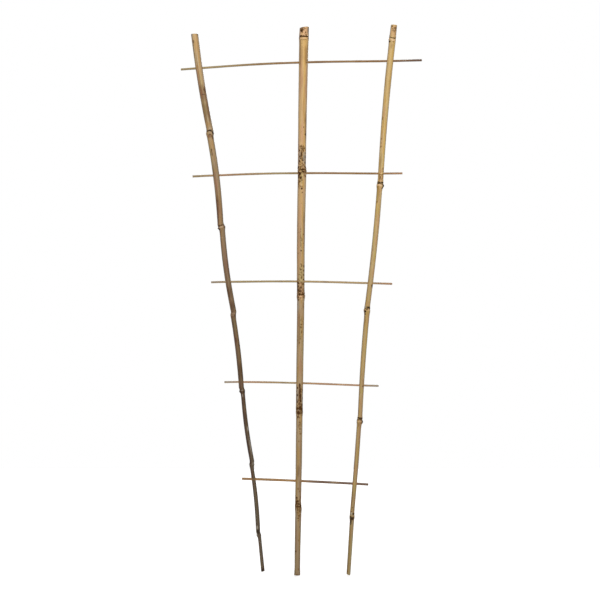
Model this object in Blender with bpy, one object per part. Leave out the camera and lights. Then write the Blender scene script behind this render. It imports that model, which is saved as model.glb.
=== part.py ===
"""Bamboo fan trellis: three tapering canes with their butt ends up, joined by five thin rungs.

Each rung passes through a drilled hole in every cane. Lengths are in metres. X runs to the right,
Y away from the viewer and Z up. The origin is the middle of the centre cane's foot, and every
height is measured from there. The canes grew downwards as they stand here, so the ridge and the
bud of a node lie just under its groove.
"""

import math
from dataclasses import dataclass, field

import bmesh
import bpy
from mathutils import Vector

MM = 0.001

# Centre cane: where it ends, how thick it is there and how thick its wall is
CENTRE_HEIGHT = 900.0 * MM
CENTRE_TOP_SIDE = 11.7 * MM
CENTRE_FOOT_THICKNESS = 9.2 * MM
CENTRE_TOP_THICKNESS = 15.2 * MM
CENTRE_FOOT_WALL = 3.0 * MM
CENTRE_TOP_WALL = 4.2 * MM
CENTRE_TOP_SLOPE = 0.14
CENTRE_NODE_LENGTH = 11.0 * MM

# Left cane: its foot and top lie to the left, so their sides count below zero
LEFT_FOOT_HEIGHT = 6.6 * MM
LEFT_TOP_DROP = 10.0 * MM
LEFT_TOP_HEIGHT = CENTRE_HEIGHT - LEFT_TOP_DROP
LEFT_FOOT_SIDE = -56.3 * MM
LEFT_TOP_SIDE = -168.5 * MM
LEFT_FOOT_THICKNESS = 5.4 * MM
LEFT_TOP_THICKNESS = 11.6 * MM
LEFT_FOOT_WALL = 1.9 * MM
LEFT_TOP_WALL = 3.2 * MM
LEFT_FOOT_SLOPE = 0.20
LEFT_TOP_SLOPE = 0.0
LEFT_NODE_LENGTH = 8.5 * MM

# Right cane
RIGHT_FOOT_HEIGHT = 1.6 * MM
RIGHT_TOP_RISE = 5.0 * MM
RIGHT_TOP_HEIGHT = CENTRE_HEIGHT + RIGHT_TOP_RISE
RIGHT_FOOT_SIDE = 84.2 * MM
RIGHT_TOP_SIDE = 159.1 * MM
RIGHT_FOOT_THICKNESS = 6.0 * MM
RIGHT_TOP_THICKNESS = 10.2 * MM
RIGHT_FOOT_WALL = 2.1 * MM
RIGHT_TOP_WALL = 3.0 * MM
RIGHT_FOOT_SLOPE = -0.25
RIGHT_TOP_SLOPE = -0.03
RIGHT_NODE_LENGTH = 11.0 * MM

# Rungs: how far each crosses the centre cane under its top or under the rung over it, how thick
# they are and the gap round them in their holes
TOP_RUNG_DROP = 57.4 * MM
UPPER_RUNG_DROP = 182.1 * MM
MIDDLE_RUNG_DROP = 178.3 * MM
LOWER_RUNG_DROP = 166.8 * MM
BOTTOM_RUNG_DROP = 161.0 * MM
TOP_RUNG_HEIGHT = CENTRE_HEIGHT - TOP_RUNG_DROP
UPPER_RUNG_HEIGHT = TOP_RUNG_HEIGHT - UPPER_RUNG_DROP
MIDDLE_RUNG_HEIGHT = UPPER_RUNG_HEIGHT - MIDDLE_RUNG_DROP
LOWER_RUNG_HEIGHT = MIDDLE_RUNG_HEIGHT - LOWER_RUNG_DROP
BOTTOM_RUNG_HEIGHT = LOWER_RUNG_HEIGHT - BOTTOM_RUNG_DROP
RUNG_THICKNESS = 3.5 * MM
RUNG_END_ROUND = 0.4 * MM
HOLE_CLEARANCE = 0.3 * MM

# Form of a node: the lip over the groove and the ridge under it. Each row is a height over the groove,
# in node lengths, and the share of the way from the culm's own surface out to the swell.
NODE_FORM = (
    (-1.00, 0.00),
    (-0.73, 0.28),
    (-0.50, 0.75),
    (-0.27, 1.00),
    (-0.09, 0.85),
    (0.00, 0.25),
    (0.07, 0.70),
    (0.18, 0.62),
    (0.41, 0.25),
    (0.73, 0.00),
)

# Where the jog, the bud and its furrow lie at a node, also in node lengths
JOG_REACH = 0.45
BUD_DROP = 0.35
BUD_LENGTH = 0.24
BUD_SPREAD = math.radians(36)
FURROW_START = 0.55
FURROW_LENGTH = 60.0 * MM
FURROW_DEPTH = 0.45 * MM
FURROW_SPREAD = math.radians(40)
FURROW_STEEPNESS = 6.0
FURROW_RINGS = (24.0 * MM, 44.0 * MM)

# The inside and the sawn ends. A hollow narrows to this share of its width at the septums.
SEPTUM = 2.4 * MM
LUMEN_SHOULDER = 2.0 * MM
LUMEN_END_SHARE = 0.6
SAWN_EDGE = 0.35 * MM

# Wood surfaces
CANE_ROUGHNESS = 0.45
RUNG_ROUGHNESS = 0.6
SHARP_EDGE = math.radians(50)

# Facets round each piece
CENTRE_FACETS = 16
SIDE_FACETS = 14
LUMEN_FACETS = 8
HOLE_FACETS = 12
RUNG_FACETS = 10
RUNG_STEPS = 4
INTERNODE_RINGS = (0.3, 0.6)
LUMEN_RINGS = (0.25, 0.5, 0.75)


@dataclass
class Node:
    """One joint of a culm. Its height is a share of the cane's length, its angle is in degrees, and
    the rest are shares of the thickness that an even taper from foot to top would have here."""

    height: float  # of the groove
    side: float  # of the culm here, off the straight line from foot to top
    jog: float  # step sideways, going up past the node
    depth: float  # of the culm here, off the plane of the trellis
    below: float  # thickness of the internode under the node
    above: float  # thickness of the internode over it
    swell: float  # thickness at the ridge
    bud_angle: float  # from the right-hand side round by the back
    bud: float  # how far the bud stands proud of the ridge
    bow: float  # sideways bow of the internode over this node


@dataclass
class Cane:
    name: str
    colour: tuple
    facets: int
    foot_height: float
    foot_side: float
    foot_thickness: float
    foot_wall: float
    foot_slope: float
    foot_hollow: bool
    top_height: float
    top_side: float
    top_thickness: float
    top_wall: float
    top_slope: float
    node_length: float
    nodes: list = field(default_factory=list)

    def __post_init__(self):
        """Turns the nodes' shares into metres, and their angles into radians."""
        for node in self.nodes:
            taper = self.foot_thickness + node.height * (self.top_thickness - self.foot_thickness)
            node.height = self.foot_height + node.height * (self.top_height - self.foot_height)
            for name in ("side", "jog", "depth", "below", "above", "swell", "bud", "bow"):
                setattr(node, name, getattr(node, name) * taper)
            node.bud_angle = math.radians(node.bud_angle)


@dataclass
class Internode:
    """The stretch of a culm between two nodes, or between a node and a sawn end."""

    low: float
    high: float
    start: Vector  # side and depth at its lower end
    end: Vector
    bow: float
    thickness_low: float
    thickness_high: float


@dataclass
class Rung:
    """Its slopes are how much it rises towards the right, and its overhangs are shares of the span
    between the outer cane and the centre cane."""

    name: str
    height: float
    left_end_slope: float
    left_slope: float
    right_slope: float
    right_end_slope: float
    left_overhang: float
    right_overhang: float


# Nodes from the foot up: height, side, jog, depth, below, above, swell, bud angle, bud, bow
CENTRE_CANE = Cane(
    name="centre_cane",
    colour=(0.47, 0.31, 0.15),
    facets=CENTRE_FACETS,
    foot_height=0.0,
    foot_side=0.0,
    foot_thickness=CENTRE_FOOT_THICKNESS,
    foot_wall=CENTRE_FOOT_WALL,
    foot_slope=0.0,
    foot_hollow=False,
    top_height=CENTRE_HEIGHT,
    top_side=CENTRE_TOP_SIDE,
    top_thickness=CENTRE_TOP_THICKNESS,
    top_wall=CENTRE_TOP_WALL,
    top_slope=CENTRE_TOP_SLOPE,
    node_length=CENTRE_NODE_LENGTH,
    nodes=[
        Node(0.0044, 0.00, 0.00, 0.00, 1.00, 0.94, 1.08, 90, 0.00, -0.02),
        Node(0.1242, 0.03, -0.05, -0.05, 1.00, 0.93, 1.09, -90, 0.06, 0.02),
        Node(0.3011, 0.00, -0.01, 0.05, 0.95, 0.96, 1.04, -100, 0.06, -0.01),
        Node(0.5122, -0.01, -0.04, -0.03, 0.96, 0.95, 1.10, -65, 0.04, -0.07),
        Node(0.7411, -0.05, -0.06, 0.04, 1.00, 0.94, 1.06, -115, 0.05, -0.02),
        Node(0.9833, -0.03, 0.00, 0.00, 1.01, 1.03, 1.08, 100, 0.03, 0.00),
    ],
)
LEFT_CANE = Cane(
    name="left_cane",
    colour=(0.26, 0.18, 0.11),
    facets=SIDE_FACETS,
    foot_height=LEFT_FOOT_HEIGHT,
    foot_side=LEFT_FOOT_SIDE,
    foot_thickness=LEFT_FOOT_THICKNESS,
    foot_wall=LEFT_FOOT_WALL,
    foot_slope=LEFT_FOOT_SLOPE,
    foot_hollow=True,
    top_height=LEFT_TOP_HEIGHT,
    top_side=LEFT_TOP_SIDE,
    top_thickness=LEFT_TOP_THICKNESS,
    top_wall=LEFT_TOP_WALL,
    top_slope=LEFT_TOP_SLOPE,
    node_length=LEFT_NODE_LENGTH,
    nodes=[
        Node(0.0706, 0.19, -0.27, 0.09, 0.92, 1.06, 1.23, 190, 0.15, 0.31),
        Node(0.2029, 0.59, 0.35, -0.09, 0.93, 1.04, 1.13, 5, 0.08, -0.36),
        Node(0.3367, 0.48, -0.36, 0.09, 0.91, 1.07, 1.14, 185, 0.20, 0.27),
        Node(0.4801, 0.61, 0.30, -0.07, 0.96, 1.05, 1.06, 0, 0.06, -0.30),
        Node(0.6389, 0.41, -0.26, 0.09, 0.97, 0.98, 1.15, 180, 0.12, 0.27),
        Node(0.8166, 0.40, 0.17, -0.08, 1.02, 1.02, 1.14, -5, 0.09, -0.18),
    ],
)
RIGHT_CANE = Cane(
    name="right_cane",
    colour=(0.50, 0.34, 0.16),
    facets=SIDE_FACETS,
    foot_height=RIGHT_FOOT_HEIGHT,
    foot_side=RIGHT_FOOT_SIDE,
    foot_thickness=RIGHT_FOOT_THICKNESS,
    foot_wall=RIGHT_FOOT_WALL,
    foot_slope=RIGHT_FOOT_SLOPE,
    foot_hollow=True,
    top_height=RIGHT_TOP_HEIGHT,
    top_side=RIGHT_TOP_SIDE,
    top_thickness=RIGHT_TOP_THICKNESS,
    top_wall=RIGHT_TOP_WALL,
    top_slope=RIGHT_TOP_SLOPE,
    node_length=RIGHT_NODE_LENGTH,
    nodes=[
        Node(0.1089, -0.31, -0.06, -0.06, 1.04, 0.96, 1.27, -130, 0.12, 0.06),
        Node(0.2827, -0.33, 0.10, 0.08, 1.06, 1.00, 1.34, -15, 0.14, -0.17),
        Node(0.4820, -0.65, -0.06, -0.09, 1.11, 1.05, 1.26, 190, 0.10, 0.19),
        Node(0.7111, -0.10, 0.06, 0.09, 1.02, 1.00, 1.31, -10, 0.13, -0.20),
        Node(0.9745, -0.06, 0.00, -0.03, 1.12, 1.07, 1.17, 180, 0.05, 0.00),
    ],
)

# Slopes past the left cane, before and after the centre cane and past the right cane, then the overhangs
RUNGS = (
    Rung("top_rung", TOP_RUNG_HEIGHT, 0.073, 0.055, 0.016, 0.025, 0.175, 0.369),
    Rung("upper_rung", UPPER_RUNG_HEIGHT, 0.044, 0.026, -0.004, 0.009, 0.275, 0.274),
    Rung("middle_rung", MIDDLE_RUNG_HEIGHT, 0.025, 0.005, -0.024, -0.031, 0.236, 0.305),
    Rung("lower_rung", LOWER_RUNG_HEIGHT, 0.011, -0.019, -0.037, -0.029, 0.285, 0.275),
    Rung("bottom_rung", BOTTOM_RUNG_HEIGHT, -0.026, -0.041, -0.049, -0.062, 0.263, 0.244),
)
RUNG_COLOUR = (0.36, 0.26, 0.17)


def eased(share):
    """A share from 0 to 1 with soft ends."""
    share = min(max(share, 0.0), 1.0)
    return share * share * (3 - 2 * share)


def turn_between(first, second):
    """The angle from one direction to another, at most half a turn."""
    return math.remainder(first - second, math.tau)


def on_straight_line(cane, height):
    """The side of the straight line from the cane's foot to its top."""
    share = (height - cane.foot_height) / (cane.top_height - cane.foot_height)
    return cane.foot_side + share * (cane.top_side - cane.foot_side)


def internodes_of(cane):
    """The cane's internodes, from the foot up."""
    nodes = cane.nodes
    starts = [Vector((cane.foot_side, 0.0))]
    ends = []
    for node in nodes:
        side = on_straight_line(cane, node.height) + node.side
        ends.append(Vector((side - node.jog / 2, node.depth)))
        starts.append(Vector((side + node.jog / 2, node.depth)))
    ends.append(Vector((cane.top_side, 0.0)))
    heights = [cane.foot_height] + [node.height for node in nodes] + [cane.top_height]
    bows = [0.0] + [node.bow for node in nodes]
    lows = [cane.foot_thickness] + [node.above for node in nodes]
    highs = [node.below for node in nodes] + [cane.top_thickness]
    return [
        Internode(*stretch)
        for stretch in zip(heights[:-1], heights[1:], starts, ends, bows, lows, highs)
    ]


def within(internode, height):
    """Side, depth and thickness that an internode has at a height, or would have just past its end."""
    share = (height - internode.low) / (internode.high - internode.low)
    place = internode.start.lerp(internode.end, share)
    place.x += 4 * share * (1 - share) * internode.bow
    thickness = internode.thickness_low + share * (internode.thickness_high - internode.thickness_low)
    return Vector((place.x, place.y, thickness))


def culm_at(cane, height):
    """The culm's side, depth and plain thickness at a height, eased across the jogs at the nodes."""
    internodes = internodes_of(cane)
    here = within(internodes[0], height)
    for node, above in zip(cane.nodes, internodes[1:]):
        reach = min(JOG_REACH * cane.node_length, node.height - cane.foot_height)
        share = eased((height - node.height + reach) / (2 * reach))
        if share > 0:
            here = here.lerp(within(above, height), share)
    return here


def culm_middle(cane, height):
    here = culm_at(cane, height)
    return Vector((here.x, here.y, height))


def swell_share(offset):
    """How much of the swell shows at an offset over a node's groove, in node lengths."""
    for (low, first), (high, second) in zip(NODE_FORM[:-1], NODE_FORM[1:]):
        if low <= offset <= high:
            return first + (second - first) * (offset - low) / (high - low)
    return 0.0


def furrow_depth(distance):
    """Depth of the furrow that a bud leaves in the internode, at a distance from where it starts."""
    along = distance / FURROW_LENGTH
    if not 0 < along < 1:
        return 0.0
    return FURROW_DEPTH * eased(FURROW_STEEPNESS * along) * (1 - along)


def culm_radius(cane, height, angle):
    """Radius of the culm's outer skin in one direction, with its nodes, buds and furrows."""
    radius = culm_at(cane, height).z / 2
    for node in cane.nodes:
        offset = (height - node.height) / cane.node_length
        radius += swell_share(offset) * (node.swell / 2 - radius)
        turn = turn_between(angle, node.bud_angle)
        bud_share = math.exp(-((offset + BUD_DROP) / BUD_LENGTH) ** 2 - (turn / BUD_SPREAD) ** 2)
        radius += node.bud * bud_share
        if node.bud > 0:
            furrow = furrow_depth(-(offset + FURROW_START) * cane.node_length)
            radius -= furrow * math.exp(-((turn / FURROW_SPREAD) ** 2))
    return radius


def culm_ring(cane, height, inset=0.0, slope=None):
    """Points round the culm, square to it, or on a sawn face that rises by slope to the right."""
    middle = culm_middle(cane, height)
    reach = JOG_REACH * cane.node_length
    along = (culm_middle(cane, height + reach) - culm_middle(cane, height - reach)).normalized()
    back = Vector((0, 1, 0)) - along * along.y
    back.normalize()
    right = back.cross(along)
    points = []
    for step in range(cane.facets):
        angle = math.tau * step / cane.facets
        radius = culm_radius(cane, height, angle) - inset
        point = middle + radius * (math.cos(angle) * right + math.sin(angle) * back)
        if slope is not None:
            face = Vector((-slope, 0, 1))
            point += along * ((middle - point).dot(face) / along.dot(face))
        points.append(point)
    return points


def ring_heights(cane):
    """Heights of the plain rings between the sawn ends, close together at the nodes."""
    heights = []
    for node in cane.nodes:
        heights += [node.height + offset * cane.node_length for offset, _ in NODE_FORM]
        if node.bud > 0:
            heights += [node.height - drop for drop in FURROW_RINGS]
    for internode in internodes_of(cane):
        length = internode.high - internode.low
        heights += [internode.low + share * length for share in INTERNODE_RINGS]
    end_room = 2 * SAWN_EDGE + max(abs(cane.foot_slope), abs(cane.top_slope)) * cane.top_thickness
    kept = []
    for height in sorted(heights):
        clear_of_ends = cane.foot_height + end_room < height < cane.top_height - end_room
        if clear_of_ends and (not kept or height - kept[-1] > SAWN_EDGE):
            kept.append(height)
    return kept


def new_object(name, mesh, place, parent):
    piece = bpy.data.objects.new(name, mesh)
    bpy.context.scene.collection.objects.link(piece)
    piece.parent = parent
    piece.location = place
    return piece


def loft(name, rings, place, parent):
    """A closed body through rings of points with as many points each, with its origin at place."""
    shape = bmesh.new()
    corners = [[shape.verts.new(point - place) for point in ring] for ring in rings]
    shape.faces.new(reversed(corners[0]))
    shape.faces.new(corners[-1])
    for lower, upper in zip(corners[:-1], corners[1:]):
        for step in range(len(lower)):
            after = (step + 1) % len(lower)
            shape.faces.new((lower[step], lower[after], upper[after], upper[step]))
    bmesh.ops.recalc_face_normals(shape, faces=shape.faces)
    mesh = bpy.data.meshes.new(name)
    shape.to_mesh(mesh)
    shape.free()
    return new_object(name, mesh, place, parent)


def round_ring(middle, along, radius, facets):
    """Points of a circle round middle, square to along."""
    side = along.cross(Vector((0, 1, 0))).normalized()
    other = along.cross(side).normalized()
    turns = [math.tau * step / facets for step in range(facets)]
    return [middle + radius * (math.cos(turn) * side + math.sin(turn) * other) for turn in turns]


def wood(name, colour, roughness):
    material = bpy.data.materials.new(name)
    material.use_nodes = True
    shader = material.node_tree.nodes["Principled BSDF"]
    shader.inputs["Base Color"].default_value = (*colour, 1)
    shader.inputs["Roughness"].default_value = roughness
    shader.inputs["Metallic"].default_value = 0.0
    return material


def finish(piece, material):
    piece.data.materials.append(material)
    piece.data.shade_smooth()
    piece.data.set_sharp_from_angle(angle=SHARP_EDGE)


def cutter(piece):
    piece.hide_render = True
    piece.display_type = "WIRE"
    return piece


def cut(piece, tool, name):
    boolean = piece.modifiers.new(name, "BOOLEAN")
    boolean.operation = "DIFFERENCE"
    boolean.solver = "EXACT"
    boolean.object = tool


def joined(name, pieces, parent):
    """One object that holds the bodies of several."""
    shape = bmesh.new()
    for piece in pieces:
        start = len(shape.verts)
        shape.from_mesh(piece.data)
        shape.verts.ensure_lookup_table()
        for corner in shape.verts[start:]:
            corner.co += piece.location
        bpy.data.objects.remove(piece, do_unlink=True)
    mesh = bpy.data.meshes.new(name)
    shape.to_mesh(mesh)
    shape.free()
    return new_object(name, mesh, Vector((0, 0, 0)), parent)


def rung_crossing(rung, cane):
    """Where the rung goes through the middle of the cane."""
    span = culm_at(cane, rung.height).x - culm_at(CENTRE_CANE, rung.height).x
    slope = rung.right_slope if span > 0 else rung.left_slope
    return culm_middle(cane, rung.height + slope * span)


def rung_route(rung):
    """The five points that a rung goes through, from its left end to its right end."""
    left = rung_crossing(rung, LEFT_CANE)
    centre = rung_crossing(rung, CENTRE_CANE)
    right = rung_crossing(rung, RIGHT_CANE)
    left_end = left.lerp(centre, -rung.left_overhang)
    right_end = right.lerp(centre, -rung.right_overhang)
    left_end.z = left.z + rung.left_end_slope * (left_end.x - left.x)
    right_end.z = right.z + rung.right_end_slope * (right_end.x - right.x)
    return [left_end, left, centre, right, right_end]


def smooth_curve(points, steps):
    """Points along a smooth curve through the given ones, with its direction at each."""
    slopes = []
    for index in range(len(points)):
        before = points[max(index - 1, 0)]
        after = points[min(index + 1, len(points) - 1)]
        slopes.append((after - before) / (after.x - before.x))
    curve = []
    for index in range(len(points) - 1):
        first, second = points[index], points[index + 1]
        span = second.x - first.x
        last = steps + 1 if index == len(points) - 2 else steps
        for step in range(last):
            u = step / steps
            place = (
                first * (2 * u**3 - 3 * u**2 + 1)
                + slopes[index] * span * (u**3 - 2 * u**2 + u)
                + second * (3 * u**2 - 2 * u**3)
                + slopes[index + 1] * span * (u**3 - u**2)
            )
            curve.append((place, slopes[index].lerp(slopes[index + 1], u).normalized()))
    return curve


def make_rung(rung, material, parent):
    """A thin round stick, rounded off a little at its sawn ends."""
    route = rung_route(rung)
    curve = smooth_curve(route, RUNG_STEPS)
    radius = RUNG_THICKNESS / 2
    rings = []
    for place, along in curve:
        rings.append(round_ring(place, along, radius, RUNG_FACETS))
    for index, inwards in ((0, 1), (-1, -1)):
        place, along = curve[index]
        inner = round_ring(place + inwards * RUNG_END_ROUND * along, along, radius, RUNG_FACETS)
        rings[index] = round_ring(place, along, radius - RUNG_END_ROUND, RUNG_FACETS)
        rings.insert(1 if index == 0 else len(rings) - 1, inner)
    piece = loft(rung.name, rings, route[2], parent)
    finish(piece, material)
    return piece


def rung_holes(cane, parent):
    """The drills for the holes of one cane, each along the rung that goes through it."""
    drills = []
    for rung in RUNGS:
        middle = rung_crossing(rung, cane)
        curve = smooth_curve(rung_route(rung), RUNG_STEPS)
        along = min(curve, key=lambda stop: (stop[0] - middle).length)[1]
        reach = culm_at(cane, middle.z).z
        radius = (RUNG_THICKNESS / 2 + HOLE_CLEARANCE) / math.cos(math.pi / HOLE_FACETS)
        rings = [
            round_ring(middle + end * reach * along, along, radius, HOLE_FACETS) for end in (-1, 1)
        ]
        drills.append(loft("drill", rings, middle, None))
    return cutter(joined(cane.name + "_rung_holes", drills, parent))


def opened_by_rung(cane, internode):
    """Whether a rung goes through the internode, clear of the septums at its ends."""
    low = internode.low + SEPTUM
    high = internode.high - SEPTUM
    return any(low < rung_crossing(rung, cane).z < high for rung in RUNGS)


def lumen_ring(cane, height, share=1.0):
    """A ring round the hollow inside of the culm, from the wall's thickness at that height."""
    up = (height - cane.foot_height) / (cane.top_height - cane.foot_height)
    wall = cane.foot_wall + up * (cane.top_wall - cane.foot_wall)
    radius = culm_at(cane, height).z / 2 - wall
    middle = culm_middle(cane, height)
    return round_ring(middle, Vector((0, 0, 1)), share * radius, LUMEN_FACETS)


def lumens(cane, parent):
    """The hollow insides that a rung's hole or a sawn end opens. A sealed internode is left solid."""
    internodes = internodes_of(cane)
    hollows = []
    for index, internode in enumerate(internodes):
        at_foot = index == 0 and cane.foot_hollow
        at_top = index == len(internodes) - 1
        if not (at_foot or at_top or opened_by_rung(cane, internode)):
            continue
        low = internode.low - SEPTUM if at_foot else internode.low + SEPTUM / 2
        high = internode.high + SEPTUM if at_top else internode.high - SEPTUM / 2
        rings = [lumen_ring(cane, low, 1.0 if at_foot else LUMEN_END_SHARE)]
        if not at_foot:
            rings.append(lumen_ring(cane, low + LUMEN_SHOULDER))
        for share in LUMEN_RINGS:
            rings.append(lumen_ring(cane, low + share * (high - low)))
        if not at_top:
            rings.append(lumen_ring(cane, high - LUMEN_SHOULDER))
        rings.append(lumen_ring(cane, high, 1.0 if at_top else LUMEN_END_SHARE))
        hollows.append(loft("hollow", rings, culm_middle(cane, low), None))
    return cutter(joined(cane.name + "_lumens", hollows, parent))


def make_cane(cane, parent):
    """The culm's outer body, hollowed inside and drilled for the rungs."""
    rings = [
        culm_ring(cane, cane.foot_height, SAWN_EDGE, cane.foot_slope),
        culm_ring(cane, cane.foot_height + SAWN_EDGE, 0.0, cane.foot_slope),
    ]
    rings += [culm_ring(cane, height) for height in ring_heights(cane)]
    rings += [
        culm_ring(cane, cane.top_height - SAWN_EDGE, 0.0, cane.top_slope),
        culm_ring(cane, cane.top_height, SAWN_EDGE, cane.top_slope),
    ]
    piece = loft(cane.name, rings, culm_middle(cane, cane.foot_height), parent)
    cut(piece, lumens(cane, parent), "lumens")
    cut(piece, rung_holes(cane, parent), "rung_holes")
    finish(piece, wood(cane.name, cane.colour, CANE_ROUGHNESS))
    return piece


def main():
    for thing in list(bpy.data.objects):
        bpy.data.objects.remove(thing, do_unlink=True)
    trellis = bpy.data.objects.new("trellis", None)
    bpy.context.scene.collection.objects.link(trellis)
    for cane in (CENTRE_CANE, LEFT_CANE, RIGHT_CANE):
        make_cane(cane, trellis)
    rung_wood = wood("rung", RUNG_COLOUR, RUNG_ROUGHNESS)
    for rung in RUNGS:
        make_rung(rung, rung_wood, trellis)


main()
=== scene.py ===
"""Bamboo fan trellis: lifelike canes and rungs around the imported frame, with a floor, light and camera.

Lengths are in metres. X runs to the right, Y away from the viewer and Z up. The origin is the middle of
the centre cane's foot. The canes grew downwards as they stand here, so the ridge and the bud of a node
lie just under its groove. Angles round a cane run from its right-hand side round by the back.
"""

import math
from typing import NamedTuple

import bpy
import numpy as np
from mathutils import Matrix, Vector


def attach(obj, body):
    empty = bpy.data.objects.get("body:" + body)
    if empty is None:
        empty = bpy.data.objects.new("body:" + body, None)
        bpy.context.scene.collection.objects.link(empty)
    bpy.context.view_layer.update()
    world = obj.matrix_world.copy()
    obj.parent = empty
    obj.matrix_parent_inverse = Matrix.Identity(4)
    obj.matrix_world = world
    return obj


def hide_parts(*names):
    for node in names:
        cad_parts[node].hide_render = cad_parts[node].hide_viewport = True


bl_info = {
    "name": "Bamboo fan trellis",
    "version": (1, 0, 0),
    "blender": (4, 5, 0),
    "location": "3D View > Sidebar > Trellis",
    "description": "Dresses a fan trellis with bamboo canes, rungs and a studio stage",
    "category": "Object",
}

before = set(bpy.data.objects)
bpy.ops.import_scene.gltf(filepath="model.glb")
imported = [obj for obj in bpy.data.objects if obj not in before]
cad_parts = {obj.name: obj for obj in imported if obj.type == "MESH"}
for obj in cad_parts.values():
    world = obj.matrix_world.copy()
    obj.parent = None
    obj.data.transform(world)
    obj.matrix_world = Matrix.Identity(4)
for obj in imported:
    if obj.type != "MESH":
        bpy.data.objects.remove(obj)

MM = 0.001
FRONT = math.radians(-90)
BODY = "root"

# Form of a node: the lip over the groove and the ridge under it. Each row is a height over the groove,
# in node lengths, and the share of the way from the culm's own surface out to the swell.
NODE_FORM = np.array(
    [
        (-1.00, 0.00),
        (-0.73, 0.28),
        (-0.50, 0.75),
        (-0.27, 1.00),
        (-0.09, 0.85),
        (0.00, 0.25),
        (0.07, 0.70),
        (0.18, 0.62),
        (0.41, 0.25),
        (0.73, 0.00),
    ]
)

# The jog, the bud and its furrow at a node. The jog's reach, the bud's drop and length and the start of
# the furrow are in node lengths.
JOG_REACH = 0.45
BUD_DROP = 0.35
BUD_LENGTH = 0.24
BUD_SPREAD = math.radians(36)
FURROW_START = 0.55
FURROW_LENGTH = 60.0 * MM
FURROW_DEPTH = 0.45 * MM
FURROW_SPREAD = math.radians(40)
FURROW_STEEPNESS = 6.0

# The cut end of the twig in the middle of a bud
SCAR_DEPTH = 0.35 * MM
SCAR_LENGTH = 1.0 * MM
SCAR_SPREAD = math.radians(13)

# The dark groove: how deep and how tall it is, and how it wanders up and down round the culm
GROOVE_DEPTH = 0.3 * MM
GROOVE_HEIGHT = 0.45 * MM
WANDER = 0.22 * MM
WANDER_WAVES = 3
WANDER_SHIFT = 900
FINE_WANDER = 0.12 * MM
FINE_WANDER_WAVES = 7

# What the finish shows by a node: the stain at the groove, the pale ridge under it, which is paler skin
# with a painted highlight, and the mottling
GROOVE_STAIN = 0.8 * MM
RIDGE_DROP = 0.24
RIDGE_HEIGHT = 1.5 * MM
MOTTLING_DROP = 4 * MM
MOTTLING_HEIGHT = 13 * MM

# Faint ripples of the skin: waves round the culm, and radians for each metre up it
RIPPLES = ((2, 9), (3, 23), (5, 61), (1, 140))
RIPPLE_SHARE = 0.005

# The inside and the sawn ends
SEPTUM = 2.4 * MM
LUMEN_SHOULDER = 2.0 * MM
LUMEN_END_SHARE = 0.6
LUMEN_RINGS = 14
LUMEN_WAVES = 3
LUMEN_WAVE_SHARE = 0.02
SAWN_EDGE = 0.35 * MM
FOOT_FACE_SHARES = (0.2, 0.4, 0.6, 0.8)
RIM_WEAR = 0.12  # in millimetres

# The drill that makes a hole: its reach and its wear are shares of the culm's and of its own thickness
DRILL_SIDES = 20
DRILL_RINGS = 9
DRILL_REACH = 0.8
DRILL_WEAR = (-0.03, 0.05)

# The bruised mouth of a hole: how far it reaches, and how deep it is in radii of the hole
MOUTH_REACH = 2.6 * MM
MOUTH_DEPTH = 5

# How close together the rings of a culm lie, and how far from a node or a hole that holds
OPEN_GAP = 4.0 * MM
NODE_GAP = 0.5 * MM
NEAR_NODE = 6.5 * MM
NEAR_NODE_DROP = NEAR_NODE / 3
STAIN_GAP = 1.1 * MM
STAIN_REACH = 15.0 * MM
HOLE_GAP = 0.7 * MM
NEAR_HOLE = 4.5 * MM
MARK_GAP = 0.6 * MM
MARK_RINGS = 4  # in half of a tall mark

# What a mark on a culm can be: a spot, a broad tint or a mottled stretch
# Dusky marks darken broad stretches of the skin; those that lie along the left and right edges are painted
# shade
# Pale marks by the grooves are paler skin with a painted highlight where a node's lip and ridge catch the
# light
KINDS = ("dark", "brown", "pale", "grey", "golden", "pink", "olive", "dusky_and_edge_shade", "mottled")
SHARP_KINDS = KINDS[:4]

# Materials of a piece, by their numbers
SKIN, SAWN, HOLLOW = range(3)

# Radius of the plain tube on which the patterns of a culm are laid out, and the steps that keep the
# patterns of two canes and of two rungs apart, in metres
PATTERN_RADIUS = 5.0 * MM
CANE_STEP = 0.1
RUNG_STEP = 0.13

# A rung: its rings, its waves along it (share, radians for each metre) and round it (share, waves), its
# sawn faces, and where its tints lie along it
STICK_GAP = 3.0 * MM
STICK_WAVES = ((0.025, 70), (0.015, 190))
STICK_LOBES = ((0.02, 3), (0.015, 5))
STICK_FACE_SHARES = (0.35, 0.7)
STICK_WEAR = 0.2  # in millimetres
STICK_SEED = 10
TINT_PLACES = (0.03, 0.15, 0.42, 0.6, 0.85, 0.97)

# The map for baking: the columns of each finish, the margins, and in the last column the cells of the
# sawn faces, of the hollows and of the holes' walls, each for the foot and then for the top
BAKE_COLUMNS = {"centre_bamboo": 4, "left_bamboo": 5, "right_bamboo": 5}
STICK_COLUMNS = 8
MAP_MARGIN = 0.03
END_MARGIN = 0.01
INNER_MARGIN = 0.02
FACE_REACH = 9.0 * MM
SAWN_CELLS = (0.7, 0.9)
SAWN_CELL_WIDTH = 0.45
SAWN_CELL_HEIGHT = 0.08
HOLLOW_CELLS = (0.1, 0.45)
HOLLOW_CELL_HEIGHT = 0.15
WALL_CELLS = 0.28
WALL_CELL_STEP = 0.015
WALL_CELL_HEIGHT = 0.006
WALL_REACH = 2.5 * MM

# How deep the finishes' fine relief looks, and from which angle on an edge is sharp
RELIEF_DEPTH = 0.2 * MM
WRINKLE_DEPTH = 0.3 * MM
SHARP_ANGLE = math.radians(40)

# The stage: the floor lies a little under the feet, and both lights are suns with soft shadows
FLOOR_DROP = 0.2 * MM
FLOOR_GRAIN = 40.0
FLOOR_PALER = (0.93, 0.93, 0.93)
FLOOR_ROUGHNESS = 0.8
FRONT_LIGHT_SIDE = (0.03, -1.0, 0.36)
BACK_LIGHT_SIDE = (0.15, 1.0, 0.4)
LIGHT_SPREAD = math.radians(30)


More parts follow.
